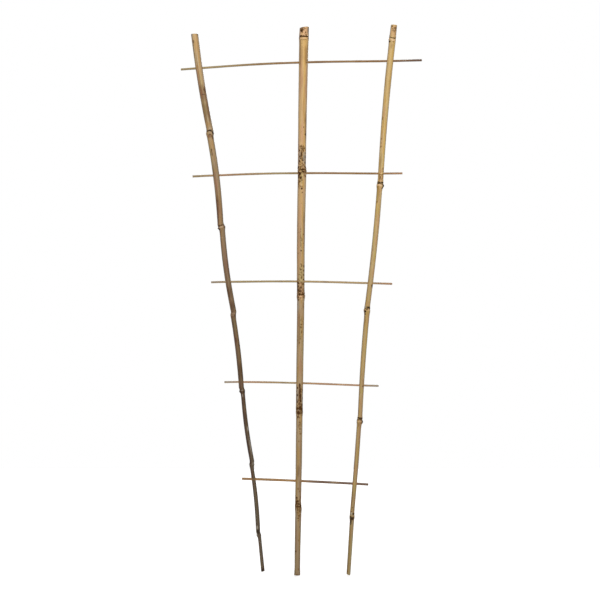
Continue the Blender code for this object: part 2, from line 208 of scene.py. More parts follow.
class Node(NamedTuple):
    """One joint of a culm. Its height is a share of the cane's length, its angle is in degrees, tilt and
    sag are in millimetres, and the sizes are shares of the thickness of an even taper here."""

    height: float  # of the groove
    side: float  # of the culm, off the straight line from foot to top
    jog: float  # step sideways, going up past the node
    depth: float  # of the culm, off the plane of the trellis
    below: float  # thickness under the node
    above: float  # thickness over it
    swell: float  # thickness at the ridge
    bud_angle: float
    bud: float  # how far the bud stands proud of the ridge
    bow: float  # sideways bow of the internode over this node
    tilt: float  # how much higher the groove lies at the right
    sag: float  # how much lower it lies in front
    ring: float  # how dark the groove is, from 0 to 1
    # The ridge's paleness is paler skin with a painted highlight on it
    pale: float  # how pale the ridge is, from 0 to 1


class Mark(NamedTuple):
    """A stain or scar on a culm's skin, in millimetres."""

    height: float  # of its middle, over the centre cane's foot
    across: float  # from -1 at the left edge to 1 at the right edge, as seen from the front
    half_height: float
    half_width: float
    sunk: float = 0.0  # depth of the dent in its middle


class Form(NamedTuple):
    """A cane's own sizes, in millimetres."""

    foot_height: float
    foot_side: float
    foot_thickness: float
    foot_wall: float
    foot_slope: float  # rise of the sawn face to the right, as a share
    foot_hollow: bool  # whether the hollow is open at the foot
    top_height: float
    top_side: float
    top_thickness: float
    top_wall: float
    top_slope: float
    node_length: float
    nodes: tuple
    marks: dict  # for each of KINDS that the cane shows, the rows of its marks from the top down


CENTRE_FORM = Form(
    foot_height=0.0,
    foot_side=0.0,
    foot_thickness=9.6,
    foot_wall=3.0,
    foot_slope=0.0,
    foot_hollow=False,
    top_height=900.0,
    top_side=11.7,
    top_thickness=15.2,
    top_wall=4.2,
    top_slope=0.14,
    node_length=11.0,
    nodes=(
        Node(0.0044, 0.00, 0.00, 0.00, 1.00, 0.94, 1.08, 90, 0.00, -0.02, 0.0, -0.5, 0.3, 0.0),
        Node(0.1242, 0.0225, -0.065, -0.05, 1.03, 0.98, 1.12, -90, 0.06, 0.02, 0.2, 0.3, 0.6, 0.1),
        Node(0.3011, 0.00, -0.02, 0.05, 0.95, 1.00, 1.05, -100, 0.06, -0.01, 0.0, 0.2, 0.5, 0.1),
        Node(0.5122, 0.00, -0.02, -0.03, 0.97, 1.00, 1.12, -65, 0.04, -0.07, 0.2, 0.4, 0.8, 0.3),
        Node(0.7411, -0.055, -0.05, 0.04, 1.03, 0.95, 1.09, -115, 0.05, -0.02, 0.0, 0.8, 0.75, 0.1),
        Node(0.9833, -0.03, 0.00, 0.00, 1.03, 1.05, 1.08, 100, 0.028, 0.00, 0.0, 1.4, 0.95, 0.7),
    ),
    marks={
        "dark": (
            (893.8, -0.56, 2.5, 2.6, 0.1), (884.8, -0.67, 1.2, 4), (884.8, 0.64, 1.2, 3.4),
            (884.4, -0.01, 1.2, 3.3), (881.8, -0.91, 1.3, 1.5), (881.7, 0.87, 1.3, 1.5),
            (845.4, 0.81, 1, 1.7), (724, 0.78, 2, 2.1), (697.3, -0.6, 1.6, 1.4), (693.5, 0.93, 2, 1.8),
            (691.4, -0.13, 4.9, 1), (687.4, -0.55, 2, 1.4), (686, 0.91, 2, 1.8), (684.1, -0.3, 1.3, 1.4),
            (681.1, 0.27, 1.2, 1.4), (680.1, -0.61, 2.1, 1.5), (677.7, 0.84, 2, 1.8),
            (670, -0.86, 1.6, 2.7, 0.2), (669.9, 0.75, 1.5, 2, 0.2), (665.8, 0.04, 1.8, 3, 0.1),
            (662.5, 0.19, 1.6, 2.2, 0.1), (661.5, -0.82, 2, 2.6, 0.1), (659.3, -0.54, 3.6, 2.7, 0.3),
            (654.6, -0.79, 3.6, 2.1), (652.7, -0.27, 3, 1.7), (634.5, 0.03, 2.1, 1.6, 0.1),
            (537.6, 0.16, 1.5, 1.3), (532.7, 0.13, 1.6, 1.3), (507.9, 0.84, 1.5, 1.8),
            (500.5, 0.82, 1.6, 1.7), (493.1, 0.81, 1.6, 1.7), (485.7, 0.78, 1.6, 1.6),
            (480, -0.73, 2.1, 2.2), (474.7, -0.7, 1.8, 2.1), (472.9, 0.05, 1.6, 1.6),
            (468.5, -0.72, 2.3, 2.1), (466.5, -0.08, 1.5, 2), (462.1, -0.31, 1.3, 2.1),
            (461.9, 0.48, 1.3, 1.9), (456.2, -0.66, 1.6, 1.3), (452.2, -0.64, 1.5, 1.3),
            (311, 0.05, 3.9, 1.5, 0.1), (307.7, -0.6, 2.1, 1.4), (304.2, 0.93, 2.1, 2.1),
            (302.8, 0.12, 5.6, 1.8, 0.1), (296.1, -0.67, 2.3, 1.6), (293.8, 0.26, 5.3, 1.9, 0.1),
            (291.1, 0.93, 2.3, 2.1), (287, 0.38, 3, 1.6), (284.7, -0.68, 2.5, 1.6), (279.6, 0.88, 2.3, 2.1),
            (274.9, 0.21, 4.3, 2.9, 0.2), (274, -0.6, 2.6, 1.4), (272.1, 0.84, 4.6, 2.4),
            (267.2, -0.26, 3.3, 2.6, 0.2), (259.8, -0.48, 1.6, 1.5), (127.5, -0.39, 2.1, 1.6),
            (121.8, -0.2, 1.6, 2.7), (118.9, -0.52, 3.3, 1.2), (117.3, 0.36, 1.3, 3.2),
            (113.9, 0.73, 3.3, 1.7), (113.5, -0.09, 1.5, 2.8), (79, 0.54, 1.6, 1.6),
            (39.7, -0.57, 1.6, 1.4),
        ),
        "brown": (
            (898.5, -0.4, 1.2, 2.9), (897.4, 0.08, 1.3, 1.3), (896.7, -0.8, 2.6, 2.2),
            (895.2, 0.88, 5.8, 2.1), (891.2, 0.33, 1.5, 1.6), (887.3, 0.43, 1.2, 1.8),
            (878.7, -0.06, 0.6, 6.9), (841.8, 0.73, 1.3, 1.9), (744.4, 0.93, 9.9, 1.5), (735.7, 0.32, 2, 1),
            (729.1, 0.06, 1.6, 1), (703.7, -0.01, 1, 1.3), (702.9, 0.29, 1.3, 1.5), (690.6, -0.1, 8.2, 2.1),
            (688.1, -0.02, 11.5, 1.5), (675.7, 0.02, 1.3, 1.3), (674.1, 0.52, 1.5, 1.5),
            (655.5, 0.7, 2.6, 1.4), (648.8, 0.02, 2, 1.2), (646.4, -0.65, 3.6, 1.7),
            (639.1, -0.69, 4.9, 1.4), (638.3, 0.09, 1.6, 1), (634.3, 0.03, 2, 1.5), (628.4, 0.14, 1.3, 1.5),
            (610.4, 0.05, 1.2, 1.2), (567.5, -0.06, 2.5, 0.8), (559.7, 0.57, 1.8, 1),
            (556.7, -0.07, 5.6, 0.7), (550.8, 0.29, 3.6, 0.7), (545.2, 0.62, 1.2, 0.8),
            (542.9, 0.04, 3, 0.7), (510.4, 0.07, 2.1, 1.5), (493.9, -0.44, 1.3, 1.3),
            (489.8, 0.25, 1.2, 1.2), (486, -0.64, 1.5, 1.3), (389.1, 0.04, 1.3, 1.2), (382, -0.2, 1.8, 1.3),
            (297.9, 0.13, 16.4, 2.7), (288, -0.23, 1.6, 1.4), (280.8, -0.16, 1.6, 1.5),
            (259.3, 0.05, 1.2, 1.3), (236.9, 0.93, 4.9, 1.5), (232.7, 0.38, 2.1, 1.6),
            (219.6, -0.08, 2, 1.5), (142, -0.07, 1.8, 1.5), (138.3, 0.45, 1.6, 1.5),
            (102.6, -0.12, 1.5, 1.3), (96.8, 0.45, 1.5, 1.5), (57.4, 0.33, 2, 1.4), (10.1, 0.4, 2, 1.4),
        ),
        "pale": (
            (662.1, -0.46, 1.3, 1.5), (457.8, -0.07, 1.3, 2.8), (453.7, 0.18, 1.3, 1.7),
        ),
        "grey": (
            (895.1, 0.86, 6.6, 2.4), (688.2, -0.53, 9.9, 1.6), (685.8, 0.56, 11.5, 2.4),
            (442.2, -0.57, 9.9, 1.4), (296.2, -0.49, 13.2, 1.5), (292.8, 0.88, 14.8, 2.1),
            (271.6, -0.18, 1.3, 1.3),
        ),
        "golden": (
            (806.1, 0.25, 69, 2.5), (642.2, 0.28, 11.5, 2.1), (599.6, 0.35, 18.1, 1.2),
            (542.3, 0.5, 23, 1.7), (406.1, 0.49, 26.3, 1.7), (194.5, -0.03, 23, 1.5),
        ),
        "pink": (
            (892.8, -0.1, 14.8, 11.6), (812.7, -0.4, 62.5, 1.6), (725.8, -0.05, 23, 3.6),
            (594.7, -0.19, 29.6, 2), (542.3, -0.62, 55.9, 2.5), (478.3, 0.08, 4.1, 2.6),
            (465.2, 0, 11.5, 99), (343.8, 0.16, 26.3, 3.3), (50, -0.3, 32.9, 1.4),
        ),
        "olive": (
            (652, -0.08, 16.4, 4.3), (594.9, 0.82, 29.6, 2.3), (548.8, 0.11, 24.7, 2.6),
            (494.7, 0.17, 21.4, 5.3), (406.1, 0.04, 26.3, 1.3), (378.2, 0.74, 49.3, 1.7),
            (202.6, 0.68, 32.9, 1.6),
        ),
        # Darker stretches of the skin, and painted shade where a row lies along the left or right edge
        "dusky_and_edge_shade": (
            (893.6, 0.9, 6.6, 2.4), (873.7, -0.77, 5.8, 3.1), (855.5, 0.71, 21.4, 5.6),
            (855.5, -0.7, 21.4, 5.1), (740.9, 0.8, 32.9, 3.3), (662, 0.64, 4.9, 1.3),
            (570.2, 0.78, 42.7, 2.9), (442.2, 0.71, 9.9, 1.6), (402.9, -0.31, 36.2, 2.1),
            (171.5, -0.03, 11.5, 2.3), (25.2, 0.66, 23, 1.3), (0.8, 0.03, 3, 4.9),
        ),
        "mottled": (
            (894.4, -0.11, 7.4, 6.6), (681.6, 0, 32.9, 99), (648.9, -0.56, 18.1, 6.4),
            (550.4, -0.03, 21.4, 1.6), (499.6, 0.08, 19.7, 3.1), (470.1, 0, 18.1, 99),
            (407.8, 0.21, 21.4, 2), (284.8, 0, 27.9, 99), (245.4, 0.13, 13.2, 3.3), (120.7, 0, 13.2, 99),
            (101, 0.15, 14.8, 4.3),
        ),
    },
)
LEFT_FORM = Form(
    foot_height=6.1,
    foot_side=-56.3,
    foot_thickness=5.9,
    foot_wall=1.9,
    foot_slope=0.20,
    foot_hollow=True,
    top_height=889.0,
    top_side=-168.5,
    top_thickness=11.8,
    top_wall=3.2,
    top_slope=0.0,
    node_length=8.5,
    nodes=(
        Node(0.0706, 0.12, -0.24, 0.09, 0.94, 1.14, 1.04, 188, 0.22, 0.31, 0.0, -0.4, 0.1, 0.0),
        Node(0.2020, 0.61, 0.26, -0.09, 0.95, 1.04, 1.08, 0, 0.14, -0.27, -0.2, -0.1, 0.4, 0.1),
        Node(0.3392, 0.45, -0.20, 0.09, 0.91, 1.07, 1.06, 185, 0.22, 0.21, 0.3, 0.3, 0.6, 0.2),
        Node(0.4801, 0.61, 0.24, -0.07, 0.99, 1.06, 1.03, 0, 0.06, -0.30, 0.0, 0.4, 0.45, 0.5),
        Node(0.6434, 0.373, -0.226, 0.09, 0.99, 1.01, 1.20, 180, 0.19, 0.27, 0.2, -0.3, 0.5, 0.6),
        Node(0.8177, 0.42, 0.13, -0.08, 1.04, 1.02, 1.15, -5, 0.09, -0.18, -0.2, -1.2, 0.85, 0.4),
    ),
    marks={
        "dark": (
            (730.5, 0.15, 1, 2.7), (729.5, -0.6, 1, 2.9), (726.2, 0.85, 2.3, 1.8), (574.2, -0.88, 1.3, 2.1),
            (568.7, -0.93, 2.3, 2.1, 0.2), (302.9, -0.93, 1.6, 2.1, 0.2), (300.7, 0.55, 1.5, 1.6),
            (300.3, -0.75, 1.2, 2.2), (188.2, -0.62, 1.6, 1.3), (184.9, -0.53, 2, 1),
            (71.6, -0.07, 4.3, 2.3, 0.6), (8.6, -0.45, 2, 3.7),
        ),
        "brown": (
            (887.8, -0.88, 2, 2.1), (887.7, 0.8, 2, 1.9), (876.1, -0.52, 3.6, 1.4), (796.6, 0.57, 4.9, 1.2),
            (789.1, 0.1, 1, 3), (723.5, 0.05, 1.3, 1.6), (718.7, 0.63, 4.9, 1.5), (698.4, -0.28, 3, 1.2),
            (693.2, -0.26, 4.9, 1), (614.5, -0.33, 2.6, 0.7), (575.1, -0.08, 0.8, 3.8),
            (571.9, 0.82, 3, 1.7), (432, -0.37, 1, 1.8), (426.6, 0.72, 3.3, 1.7), (386.4, -0.3, 5.6, 1.6),
            (378.2, 0.63, 4.6, 1.3), (373.3, -0.41, 1, 1.6), (307.6, -0.49, 3.3, 1.1),
            (166.3, -0.44, 6.6, 2.2), (149.8, -0.73, 2.6, 2.4), (49.6, -0.75, 14.8, 1.5),
        ),
        "pale": (
            (733.5, 0.17, 1, 4.3), (725.4, 0.51, 1.6, 1.5), (571.8, -0.16, 1.5, 3.3), (553.8, -0.16, 2, 1),
            (430.1, -0.11, 1.3, 4.3), (348.7, 0.26, 1.2, 1),
        ),
        "grey": (
            (304.3, -0.18, 0.8, 2.3), (295.3, -0.11, 3.9, 0.7), (240.3, 0.52, 4.9, 1),
            (212.3, 0.52, 14.8, 0.8), (184.1, 0.61, 2.6, 1), (78.6, -0.36, 3.6, 1.4),
            (70.9, -0.93, 5.6, 2.1),
        ),
        "golden": (
            (868.6, -0.06, 14.8, 2), (852.3, 0.33, 26.3, 1.7), (834.4, -0.67, 4.9, 5.5),
            (826, -0.24, 4.9, 1.5), (740.7, 0.03, 6.6, 3), (707.9, 0.2, 6.6, 1.7), (685.8, 0.07, 6.6, 2.3),
            (665.3, 0.02, 4.9, 1.6), (619.4, -0.39, 11.5, 1.4), (350.3, 0.06, 11.5, 2),
            (157.3, 0, 2.6, 2.1),
        ),
        "pink": (
            (791.6, -0.35, 8.2, 2.5), (720.7, -0.11, 2.6, 3), (642.4, -0.18, 13.2, 3.3),
            (598.1, -0.62, 21.4, 8.4), (535.7, -0.1, 16.4, 2), (511.1, 0.02, 14.8, 3.3),
            (446.3, 0.12, 4.1, 1), (424.5, -0.19, 2, 2), (386.4, -0.14, 11.5, 2), (314.2, 0.33, 6.6, 3.1),
            (271.5, -0.02, 29.6, 1.6),
        ),
        "olive": (
            (855.9, -0.83, 21.4, 3), (809.6, -0.1, 19.7, 2.6), (768.6, -0.09, 19.7, 4.3),
            (695, -0.72, 19.7, 2.4), (676.9, -0.76, 6.6, 3.8), (666.9, -0.16, 5.8, 2.5),
            (484.9, -0.89, 5.8, 2.4), (484.1, 0.6, 4.9, 1.6), (409.4, -0.07, 14.8, 3),
        ),
        # Darker stretches of the skin, and painted shade where a row lies along the left or right edge
        "dusky_and_edge_shade": (
            (867.4, -0.85, 21.4, 1.8), (806.6, -0.8, 16.4, 1.6), (789.9, 0, 18.1, 99),
            (767.2, 0.68, 19.7, 1.3), (762.1, 0, 21.4, 99), (757.6, -0.93, 6.6, 1.8),
            (720.7, -0.05, 4.3, 3.6), (662.2, -0.77, 14.8, 2), (611.3, -0.77, 14.8, 7.7),
            (598.3, -0.93, 21.4, 9), (596.6, -0.93, 19.7, 3), (591.7, -0.93, 13.2, 2.1),
            (542.4, -0.93, 16.4, 1.8), (527.6, -0.89, 13.2, 1.8), (514.5, -0.93, 39.5, 2.7),
            (484.9, -0.92, 6.6, 1.8), (465.2, -0.67, 13.2, 5.7), (442.2, 0.16, 8.2, 5),
            (437.3, -0.92, 4.9, 1.8), (414.3, -0.87, 6.6, 2.4), (356.8, -0.93, 16.4, 2.4),
            (335.5, 0.17, 14.8, 5), (289.5, 0, 14.8, 99), (263.1, -0.93, 32.9, 2.4),
            (258.4, -0.23, 14.8, 5.1), (212.3, -0.61, 19.7, 1.9), (11.1, -0.55, 3.3, 5.9),
        ),
    },
)
RIGHT_FORM = Form(
    foot_height=0.75,
    foot_side=84.2,
    foot_thickness=6.5,
    foot_wall=2.1,
    foot_slope=-0.25,
    foot_hollow=True,
    top_height=904.0,
    top_side=159.1,
    top_thickness=10.2,
    top_wall=3.0,
    top_slope=-0.08,
    node_length=11.0,
    nodes=(
        Node(0.1089, -0.31, -0.06, -0.06, 1.08, 1.05, 1.24, -130, 0.12, 0.06, 0.0, -0.3, 0.4, 0.0),
        Node(0.2827, -0.33, 0.10, 0.08, 1.06, 1.00, 1.24, -15, 0.22, -0.17, 0.0, 0.7, 1.0, 0.5),
        Node(0.4838, -0.65, -0.06, -0.09, 1.11, 1.07, 1.24, 190, 0.12, 0.19, -0.4, 0.2, 0.8, 0.5),
        Node(0.7117, -0.12, 0.06, 0.09, 1.04, 1.00, 1.22, -10, 0.18, -0.20, 0.0, 0.7, 0.9, 0.8),
        Node(0.9768, -0.06, 0.00, -0.03, 1.14, 1.07, 1.15, 180, 0.05, 0.00, -0.4, 0.9, 0.90, 0.9),
    ),
    marks={
        "dark": (
            (875.8, -0.71, 1.6, 1.4), (663.2, 0.7, 1.3, 1.2), (645.2, 0.63, 1.2, 3, 0.1),
            (645.2, -0.48, 1.2, 2.8, 0.1), (640.4, 0.93, 3.1, 2.1, 0.2), (636, 0.93, 1.8, 2.7, 0.1),
            (475.9, 0.93, 3.3, 3), (440.1, 0.37, 1.6, 3.5, 0.1), (438.3, 0.86, 1.5, 2.1),
            (433.5, -0.67, 2.1, 1.8, 0.2), (428.9, -0.71, 1.6, 1.2), (311.2, 0.73, 1.8, 1.9),
            (258.4, -0.6, 1.2, 2.5, 0.1), (258.2, 0.72, 1.2, 3.1, 0.1), (257.8, 0.03, 1.5, 3),
            (252.8, 0.93, 3, 2.1, 0.1), (101.2, 0.62, 1.8, 2.3, 0.2), (96.1, -0.61, 1.6, 1.7),
            (93.6, -0.02, 2.8, 3.6, 0.3), (87.9, -0.51, 5.3, 1.5, 0.1),
        ),
        "brown": (
            (900.9, -0.59, 2.1, 1.6), (899.1, 0.35, 0.8, 1.6), (897.2, 0.93, 4.1, 1.8),
            (896.6, -0.26, 1.6, 1.2), (889.6, 0.93, 2.1, 2.4), (876.2, 0.29, 0.6, 1.5),
            (750, -0.75, 2.6, 1.2), (721.2, -0.58, 1.6, 1.2), (716.6, -0.61, 1.5, 1.2),
            (708.9, -0.61, 1.6, 1.2), (703.8, -0.59, 1.5, 1.2), (667.1, 0.6, 2.1, 1.6),
            (658.1, 0.69, 1.5, 1.6), (612.9, -0.58, 3, 0.9), (446.3, -0.93, 2, 1.5), (436, -0.01, 0.8, 1.3),
            (268.1, -0.85, 4.6, 1.5), (250.1, 0.72, 1.2, 1.9), (104.9, -0.42, 1.2, 1.5),
            (6.2, -0.64, 3.3, 1.1),
        ),
        "pale": (
            (878.5, 0.34, 1, 3.8), (641.7, 0.05, 1.2, 3), (436.8, 0.4, 1.3, 2), (255.1, 0.01, 1, 2.6),
        ),
        "grey": (
            (440.6, -0.86, 2.1, 3), (394.6, -0.18, 14.8, 0.5), (101.5, -0.5, 3, 2.1),
        ),
        "golden": (
            (855.7, 0.57, 19.7, 2.8), (821.4, 0.77, 39.5, 3.1), (780.2, -0.25, 13.2, 2),
            (739.2, -0.4, 16.4, 2.2), (704.7, 0.34, 23, 2.1), (601.4, 0.17, 11.5, 1.3),
            (521, 0.68, 11.5, 1.6), (476.7, 0.6, 2, 3.3), (346.9, 0.93, 8.2, 4.2), (333.8, 0.81, 8.2, 2.8),
            (205.8, 0.57, 19.7, 2),
        ),
        "pink": (
            (893.3, 0.09, 11.5, 8.3), (758.9, -0.38, 13.2, 2.5), (663.7, -0.07, 5.8, 2.6),
            (650.6, 0.26, 7.4, 3.7), (634.1, 0.26, 6.6, 2.7), (580, 0.18, 11.5, 2.3),
            (550.5, 0.28, 14.8, 2.2), (498, 0.68, 14.8, 3.4), (461.9, 0.76, 9.9, 2.5),
            (446.3, 0.1, 4.1, 2.3), (419.2, 0.58, 13.2, 2.4), (319, 0.89, 4.9, 4.8),
            (281.4, -0.16, 13.2, 2.3), (235.4, 0.11, 8.2, 2), (202.5, -0.53, 23, 1.2),
            (173, -0.27, 13.2, 1.7), (120.2, -0.86, 13.2, 3.6), (69.6, 0, 13.2, 1.6),
        ),
        "olive": (
            (763.9, 0.7, 5.8, 1.4), (698.3, 0.81, 23, 1.7), (619.5, -0.59, 13.2, 1.8),
            (601.4, -0.07, 11.5, 2.6), (550.5, -0.52, 14.8, 1.2), (525.9, 0.38, 11.5, 2.8),
            (461.9, 0.32, 9.9, 1.6), (378.1, 0.93, 29.6, 2.4), (369.9, 0.81, 13.2, 3.3),
            (328.8, 0.93, 9.9, 2.1), (302.7, 0.1, 5.8, 2.5), (197.6, 0.03, 23, 1), (143.5, 0.13, 9.9, 1.5),
            (38, 0.91, 29.6, 2.7),
        ),
        # Darker stretches of the skin, and painted shade where a row lies along the left or right edge
        "dusky_and_edge_shade": (
            (895.5, 0.93, 9.9, 3), (893.9, 0.93, 11.5, 2.4), (868.6, -0.09, 6.6, 1.5),
            (813.2, -0.8, 18.1, 1.6), (680.1, -0.43, 18.1, 2.7), (653.9, 0.61, 4.9, 1.5),
            (651.2, -0.35, 3.3, 2.1), (635.9, -0.78, 4.9, 1.6), (626, -0.42, 19.7, 2.9),
            (416, -0.43, 9.9, 1.3), (246.9, -0.25, 4.9, 1.4), (126.9, -0.73, 16.4, 2.9),
            (77.8, -0.29, 4.9, 0.9), (49.8, -0.36, 36.2, 1.1), (15.3, -0.6, 11.5, 1.2),
        ),
        "mottled": (
            (896.6, 0.2, 7.4, 5), (657.1, -0.09, 9.9, 4.3), (107.4, -0.11, 6.6, 5),
        ),
    },
)


class Stick(NamedTuple):
    """A rung: where it crosses the centre cane, its slopes past the left cane, before and after the
    centre cane and past the right cane, its overhangs as shares of the spans, and its tints from end to
    end, each a colour of the rungs' settings."""

    node: str
    height: float  # in millimetres, like the bow
    left_bow: float  # upwards, halfway from the left cane to the centre cane
    left_end_slope: float
    left_slope: float
    right_slope: float
    right_end_slope: float
    left_overhang: float
    right_overhang: float
    girth: float  # thickness, as a share of the rungs' setting
    tints: tuple


STICKS = (
    Stick(
        "top_rung", 842.6, 0.75, 0.073, 0.055, 0.016, 0.025, 0.1743, 0.3682, 1.02,
        ("olive", "olive", "brown", "brown", "brown", "dark"),
    ),
    Stick(
        "upper_rung", 660.6, 0.55, 0.044, 0.026, -0.004, 0.009, 0.275, 0.274, 0.97,
        ("olive", "rose", "olive", "brown", "brown", "rose"),
    ),
    Stick(
        "middle_rung", 482.5, 0.1, 0.025, 0.005, -0.024, -0.031, 0.236, 0.315, 0.97,
        ("grey", "olive", "olive", "pale", "pale", "rose"),
    ),
    Stick(
        "lower_rung", 315.5, 0.15, 0.011, -0.019, -0.037, -0.029, 0.285, 0.275, 0.9,
        ("grey", "rose", "olive", "rose", "rose", "grey"),
    ),
    Stick(
        "bottom_rung", 154.8, 0.1, -0.03, -0.041, -0.049, -0.062, 0.263, 0.244, 1.14,
        ("brown", "brown", "brown", "dark", "dark", "dark"),
    ),
)


def eased(share):
    """Shares from 0 to 1 with soft ends."""
    share = np.clip(share, 0.0, 1.0)
    return share * share * (3 - 2 * share)


def turn_between(first, second):
    """The angle from one direction to another, at most half a turn."""
    return (first - second + math.pi) % math.tau - math.pi


def hump(value, width):
    """1 where the value is 0, and a bell's fall to either side."""
    return np.exp(-((value / width) ** 2))


def unit(vectors):
    """The vectors made one long."""
    return vectors / np.linalg.norm(vectors, axis=-1, keepdims=True)


class Culm:
    """The shape of one cane: where its middle runs, and how far its skin stands from there."""

    def __init__(self, form, seed):
        self.seed = seed
        self.form = form
        self.foot = form.foot_height * MM
        self.top = form.top_height * MM
        self.node_length = form.node_length * MM
        taper = [form.foot_thickness, form.top_thickness]
        self.nodes = [self.in_metres(node, np.interp(node.height, [0, 1], taper)) for node in form.nodes]
        self.marks = {kind: [Mark(*row) for row in form.marks.get(kind, ())] for kind in KINDS}
        self.sunken = [mark for marks in self.marks.values() for mark in marks if mark.sunk]
        self.ripples = np.random.default_rng(seed).uniform(0, math.tau, (len(RIPPLES), 2))
        starts = [(form.foot_side * MM, 0.0)]
        ends = []
        for node in self.nodes:
            ends.append((node.side - node.jog / 2, node.depth))
            starts.append((node.side + node.jog / 2, node.depth))
        ends.append((form.top_side * MM, 0.0))
        lows = [form.foot_thickness * MM] + [node.above for node in self.nodes]
        highs = [node.below for node in self.nodes] + [form.top_thickness * MM]
        self.stations = [self.foot] + [node.height for node in self.nodes] + [self.top]
        self.lower = np.column_stack([starts, lows])
        self.upper = np.column_stack([ends, highs])
        self.bows = [0.0] + [node.bow for node in self.nodes]

    def in_metres(self, node, taper):
        """The node with its shares turned into metres, and its side counted from the origin."""
        scale = taper * MM
        sizes = ("side", "jog", "depth", "below", "above", "swell", "bud", "bow")
        real = node._replace(**{name: getattr(node, name) * scale for name in sizes})
        line = np.interp(node.height, [0, 1], [self.form.foot_side, self.form.top_side]) * MM
        return real._replace(
            height=self.foot + node.height * (self.top - self.foot),
            side=line + real.side,
            bud_angle=math.radians(node.bud_angle),
            tilt=node.tilt * MM,
            sag=node.sag * MM,
        )

    def within(self, index, height):
        """Side, depth and thickness of an internode at heights, also just past its ends."""
        low, high = self.stations[index], self.stations[index + 1]
        share = ((height - low) / (high - low))[..., None]
        here = self.lower[index] + share * (self.upper[index] - self.lower[index])
        here[..., 0] += (4 * share * (1 - share))[..., 0] * self.bows[index]
        return here

    def line(self, height):
        """The culm's side, depth and plain thickness at heights, eased across the jogs."""
        here = self.within(0, height)
        for index, node in enumerate(self.nodes):
            reach = min(JOG_REACH * self.node_length, node.height - self.foot)
            share = eased((height - node.height + reach) / (2 * reach))[..., None]
            here = here + (self.within(index + 1, height) - here) * share
        return here

    def middle(self, height):
        """Points in the middle of the culm at heights."""
        here = self.line(height)
        return np.stack([here[..., 0], here[..., 1], height], axis=-1)

    def axes(self, height):
        """The directions to the right, to the back and along the culm at heights."""
        reach = JOG_REACH * self.node_length
        along = unit(self.middle(height + reach) - self.middle(height - reach))
        back = unit(np.array([0.0, 1.0, 0.0]) - along * along[..., 1:2])
        return np.cross(back, along), back, along

    def over_groove(self, node, height, angle):
        """Height over the node's groove, which wanders a little round the culm."""
        wander = WANDER * np.sin(WANDER_WAVES * angle + node.height * WANDER_SHIFT)
        wander = wander + FINE_WANDER * np.sin(FINE_WANDER_WAVES * angle)
        return height - node.height - node.tilt * np.cos(angle) - node.sag * np.sin(angle) - wander

    def radius(self, height, angle):
        """Distance of the skin from the middle, with nodes, buds, furrows and faint ripples."""
        radius = self.line(height)[..., 2] / 2
        for (waves, pace), (first, second) in zip(RIPPLES, self.ripples):
            around = np.sin(waves * angle + first)
            upwards = np.sin(pace * height + second)
            radius = radius * (1 + RIPPLE_SHARE * around * upwards)
        for node in self.nodes:
            over = self.over_groove(node, height, angle)
            radius = radius + self.swell_share(over) * (node.swell / 2 - radius)
            radius = radius - GROOVE_DEPTH * node.ring * hump(over, GROOVE_HEIGHT)
            if node.bud > 0:
                turn = turn_between(angle, node.bud_angle)
                drop = over + BUD_DROP * self.node_length
                bulge = node.bud * hump(drop, BUD_LENGTH * self.node_length)
                radius = radius + bulge * hump(turn, BUD_SPREAD)
                scar = SCAR_DEPTH * hump(drop + SCAR_LENGTH, SCAR_LENGTH)
                radius = radius - scar * hump(turn, SCAR_SPREAD)
                along = (-over - FURROW_START * self.node_length) / FURROW_LENGTH
                furrow = eased(FURROW_STEEPNESS * along) * np.clip(1 - along, 0, 1)
                radius = radius - FURROW_DEPTH * furrow * hump(turn, FURROW_SPREAD)
        for mark in self.sunken:
            radius = radius - mark.sunk * MM * np.clip(self.closeness(mark, height, angle), 0, 1)
        return radius

    def swell_share(self, over):
        """How much of the swell shows at heights over a groove."""
        offset = over / self.node_length
        index = np.clip(np.searchsorted(NODE_FORM[:, 0], offset) - 1, 0, len(NODE_FORM) - 2)
        low, first = np.moveaxis(NODE_FORM[index], -1, 0)
        high, second = np.moveaxis(NODE_FORM[index + 1], -1, 0)
        return first + (second - first) * eased((offset - low) / (high - low))

    def closeness(self, mark, height, angle):
        """1 in the middle of a mark, 0 at its edge and below 0 outside."""
        ends = np.array([self.foot, self.top])
        radius = np.interp(mark.height * MM, ends, self.line(ends)[:, 2]) / 2
        turn = turn_between(angle, -math.acos(mark.across))
        up = (height - mark.height * MM) / (mark.half_height * MM)
        return np.clip(1 - np.hypot(up, turn * radius / (mark.half_width * MM)), -1, 1)

    def points(self, height, angle, radius, slope=None):
        """Points at heights and angles, square to the culm or on a sawn face that rises to the right."""
        right, back, along = self.axes(height)
        middle = self.middle(height)
        out = radius[..., None] * (np.cos(angle)[..., None] * right + np.sin(angle)[..., None] * back)
        if slope is not None:
            face = np.array([-slope, 0.0, 1.0])
            out = out - along * ((out @ face) / (along @ face))[..., None]
        return middle + out

    def place_of(self, points):
        """Height, angle and distance from the middle of points on or in the culm, found in five rounds."""
        height = points[:, 2].copy()
        for _ in range(5):
            right, back, along = self.axes(height)
            off = points - self.middle(height)
            height += (off * along).sum(1) * along[:, 2]
        right, back, along = self.axes(height)
        off = points - self.middle(height)
        across = (off * right).sum(1)
        behind = (off * back).sum(1)
        return height, np.arctan2(behind, across), np.hypot(across, behind)

    def lumen_radius(self, height):
        """Radius of the hollow at heights."""
        wall = np.interp(height, [self.foot, self.top], [self.form.foot_wall * MM, self.form.top_wall * MM])
        return self.line(height)[..., 2] / 2 - wall


def stick_crossing(stick, culm, centre):
    """Where the rung goes through the middle of a culm."""
    height = np.array([stick.height * MM])
    span = (culm.line(height) - centre.line(height))[0, 0]
    slope = stick.right_slope if span > 0 else stick.left_slope
    return culm.middle(height + slope * span)[0]


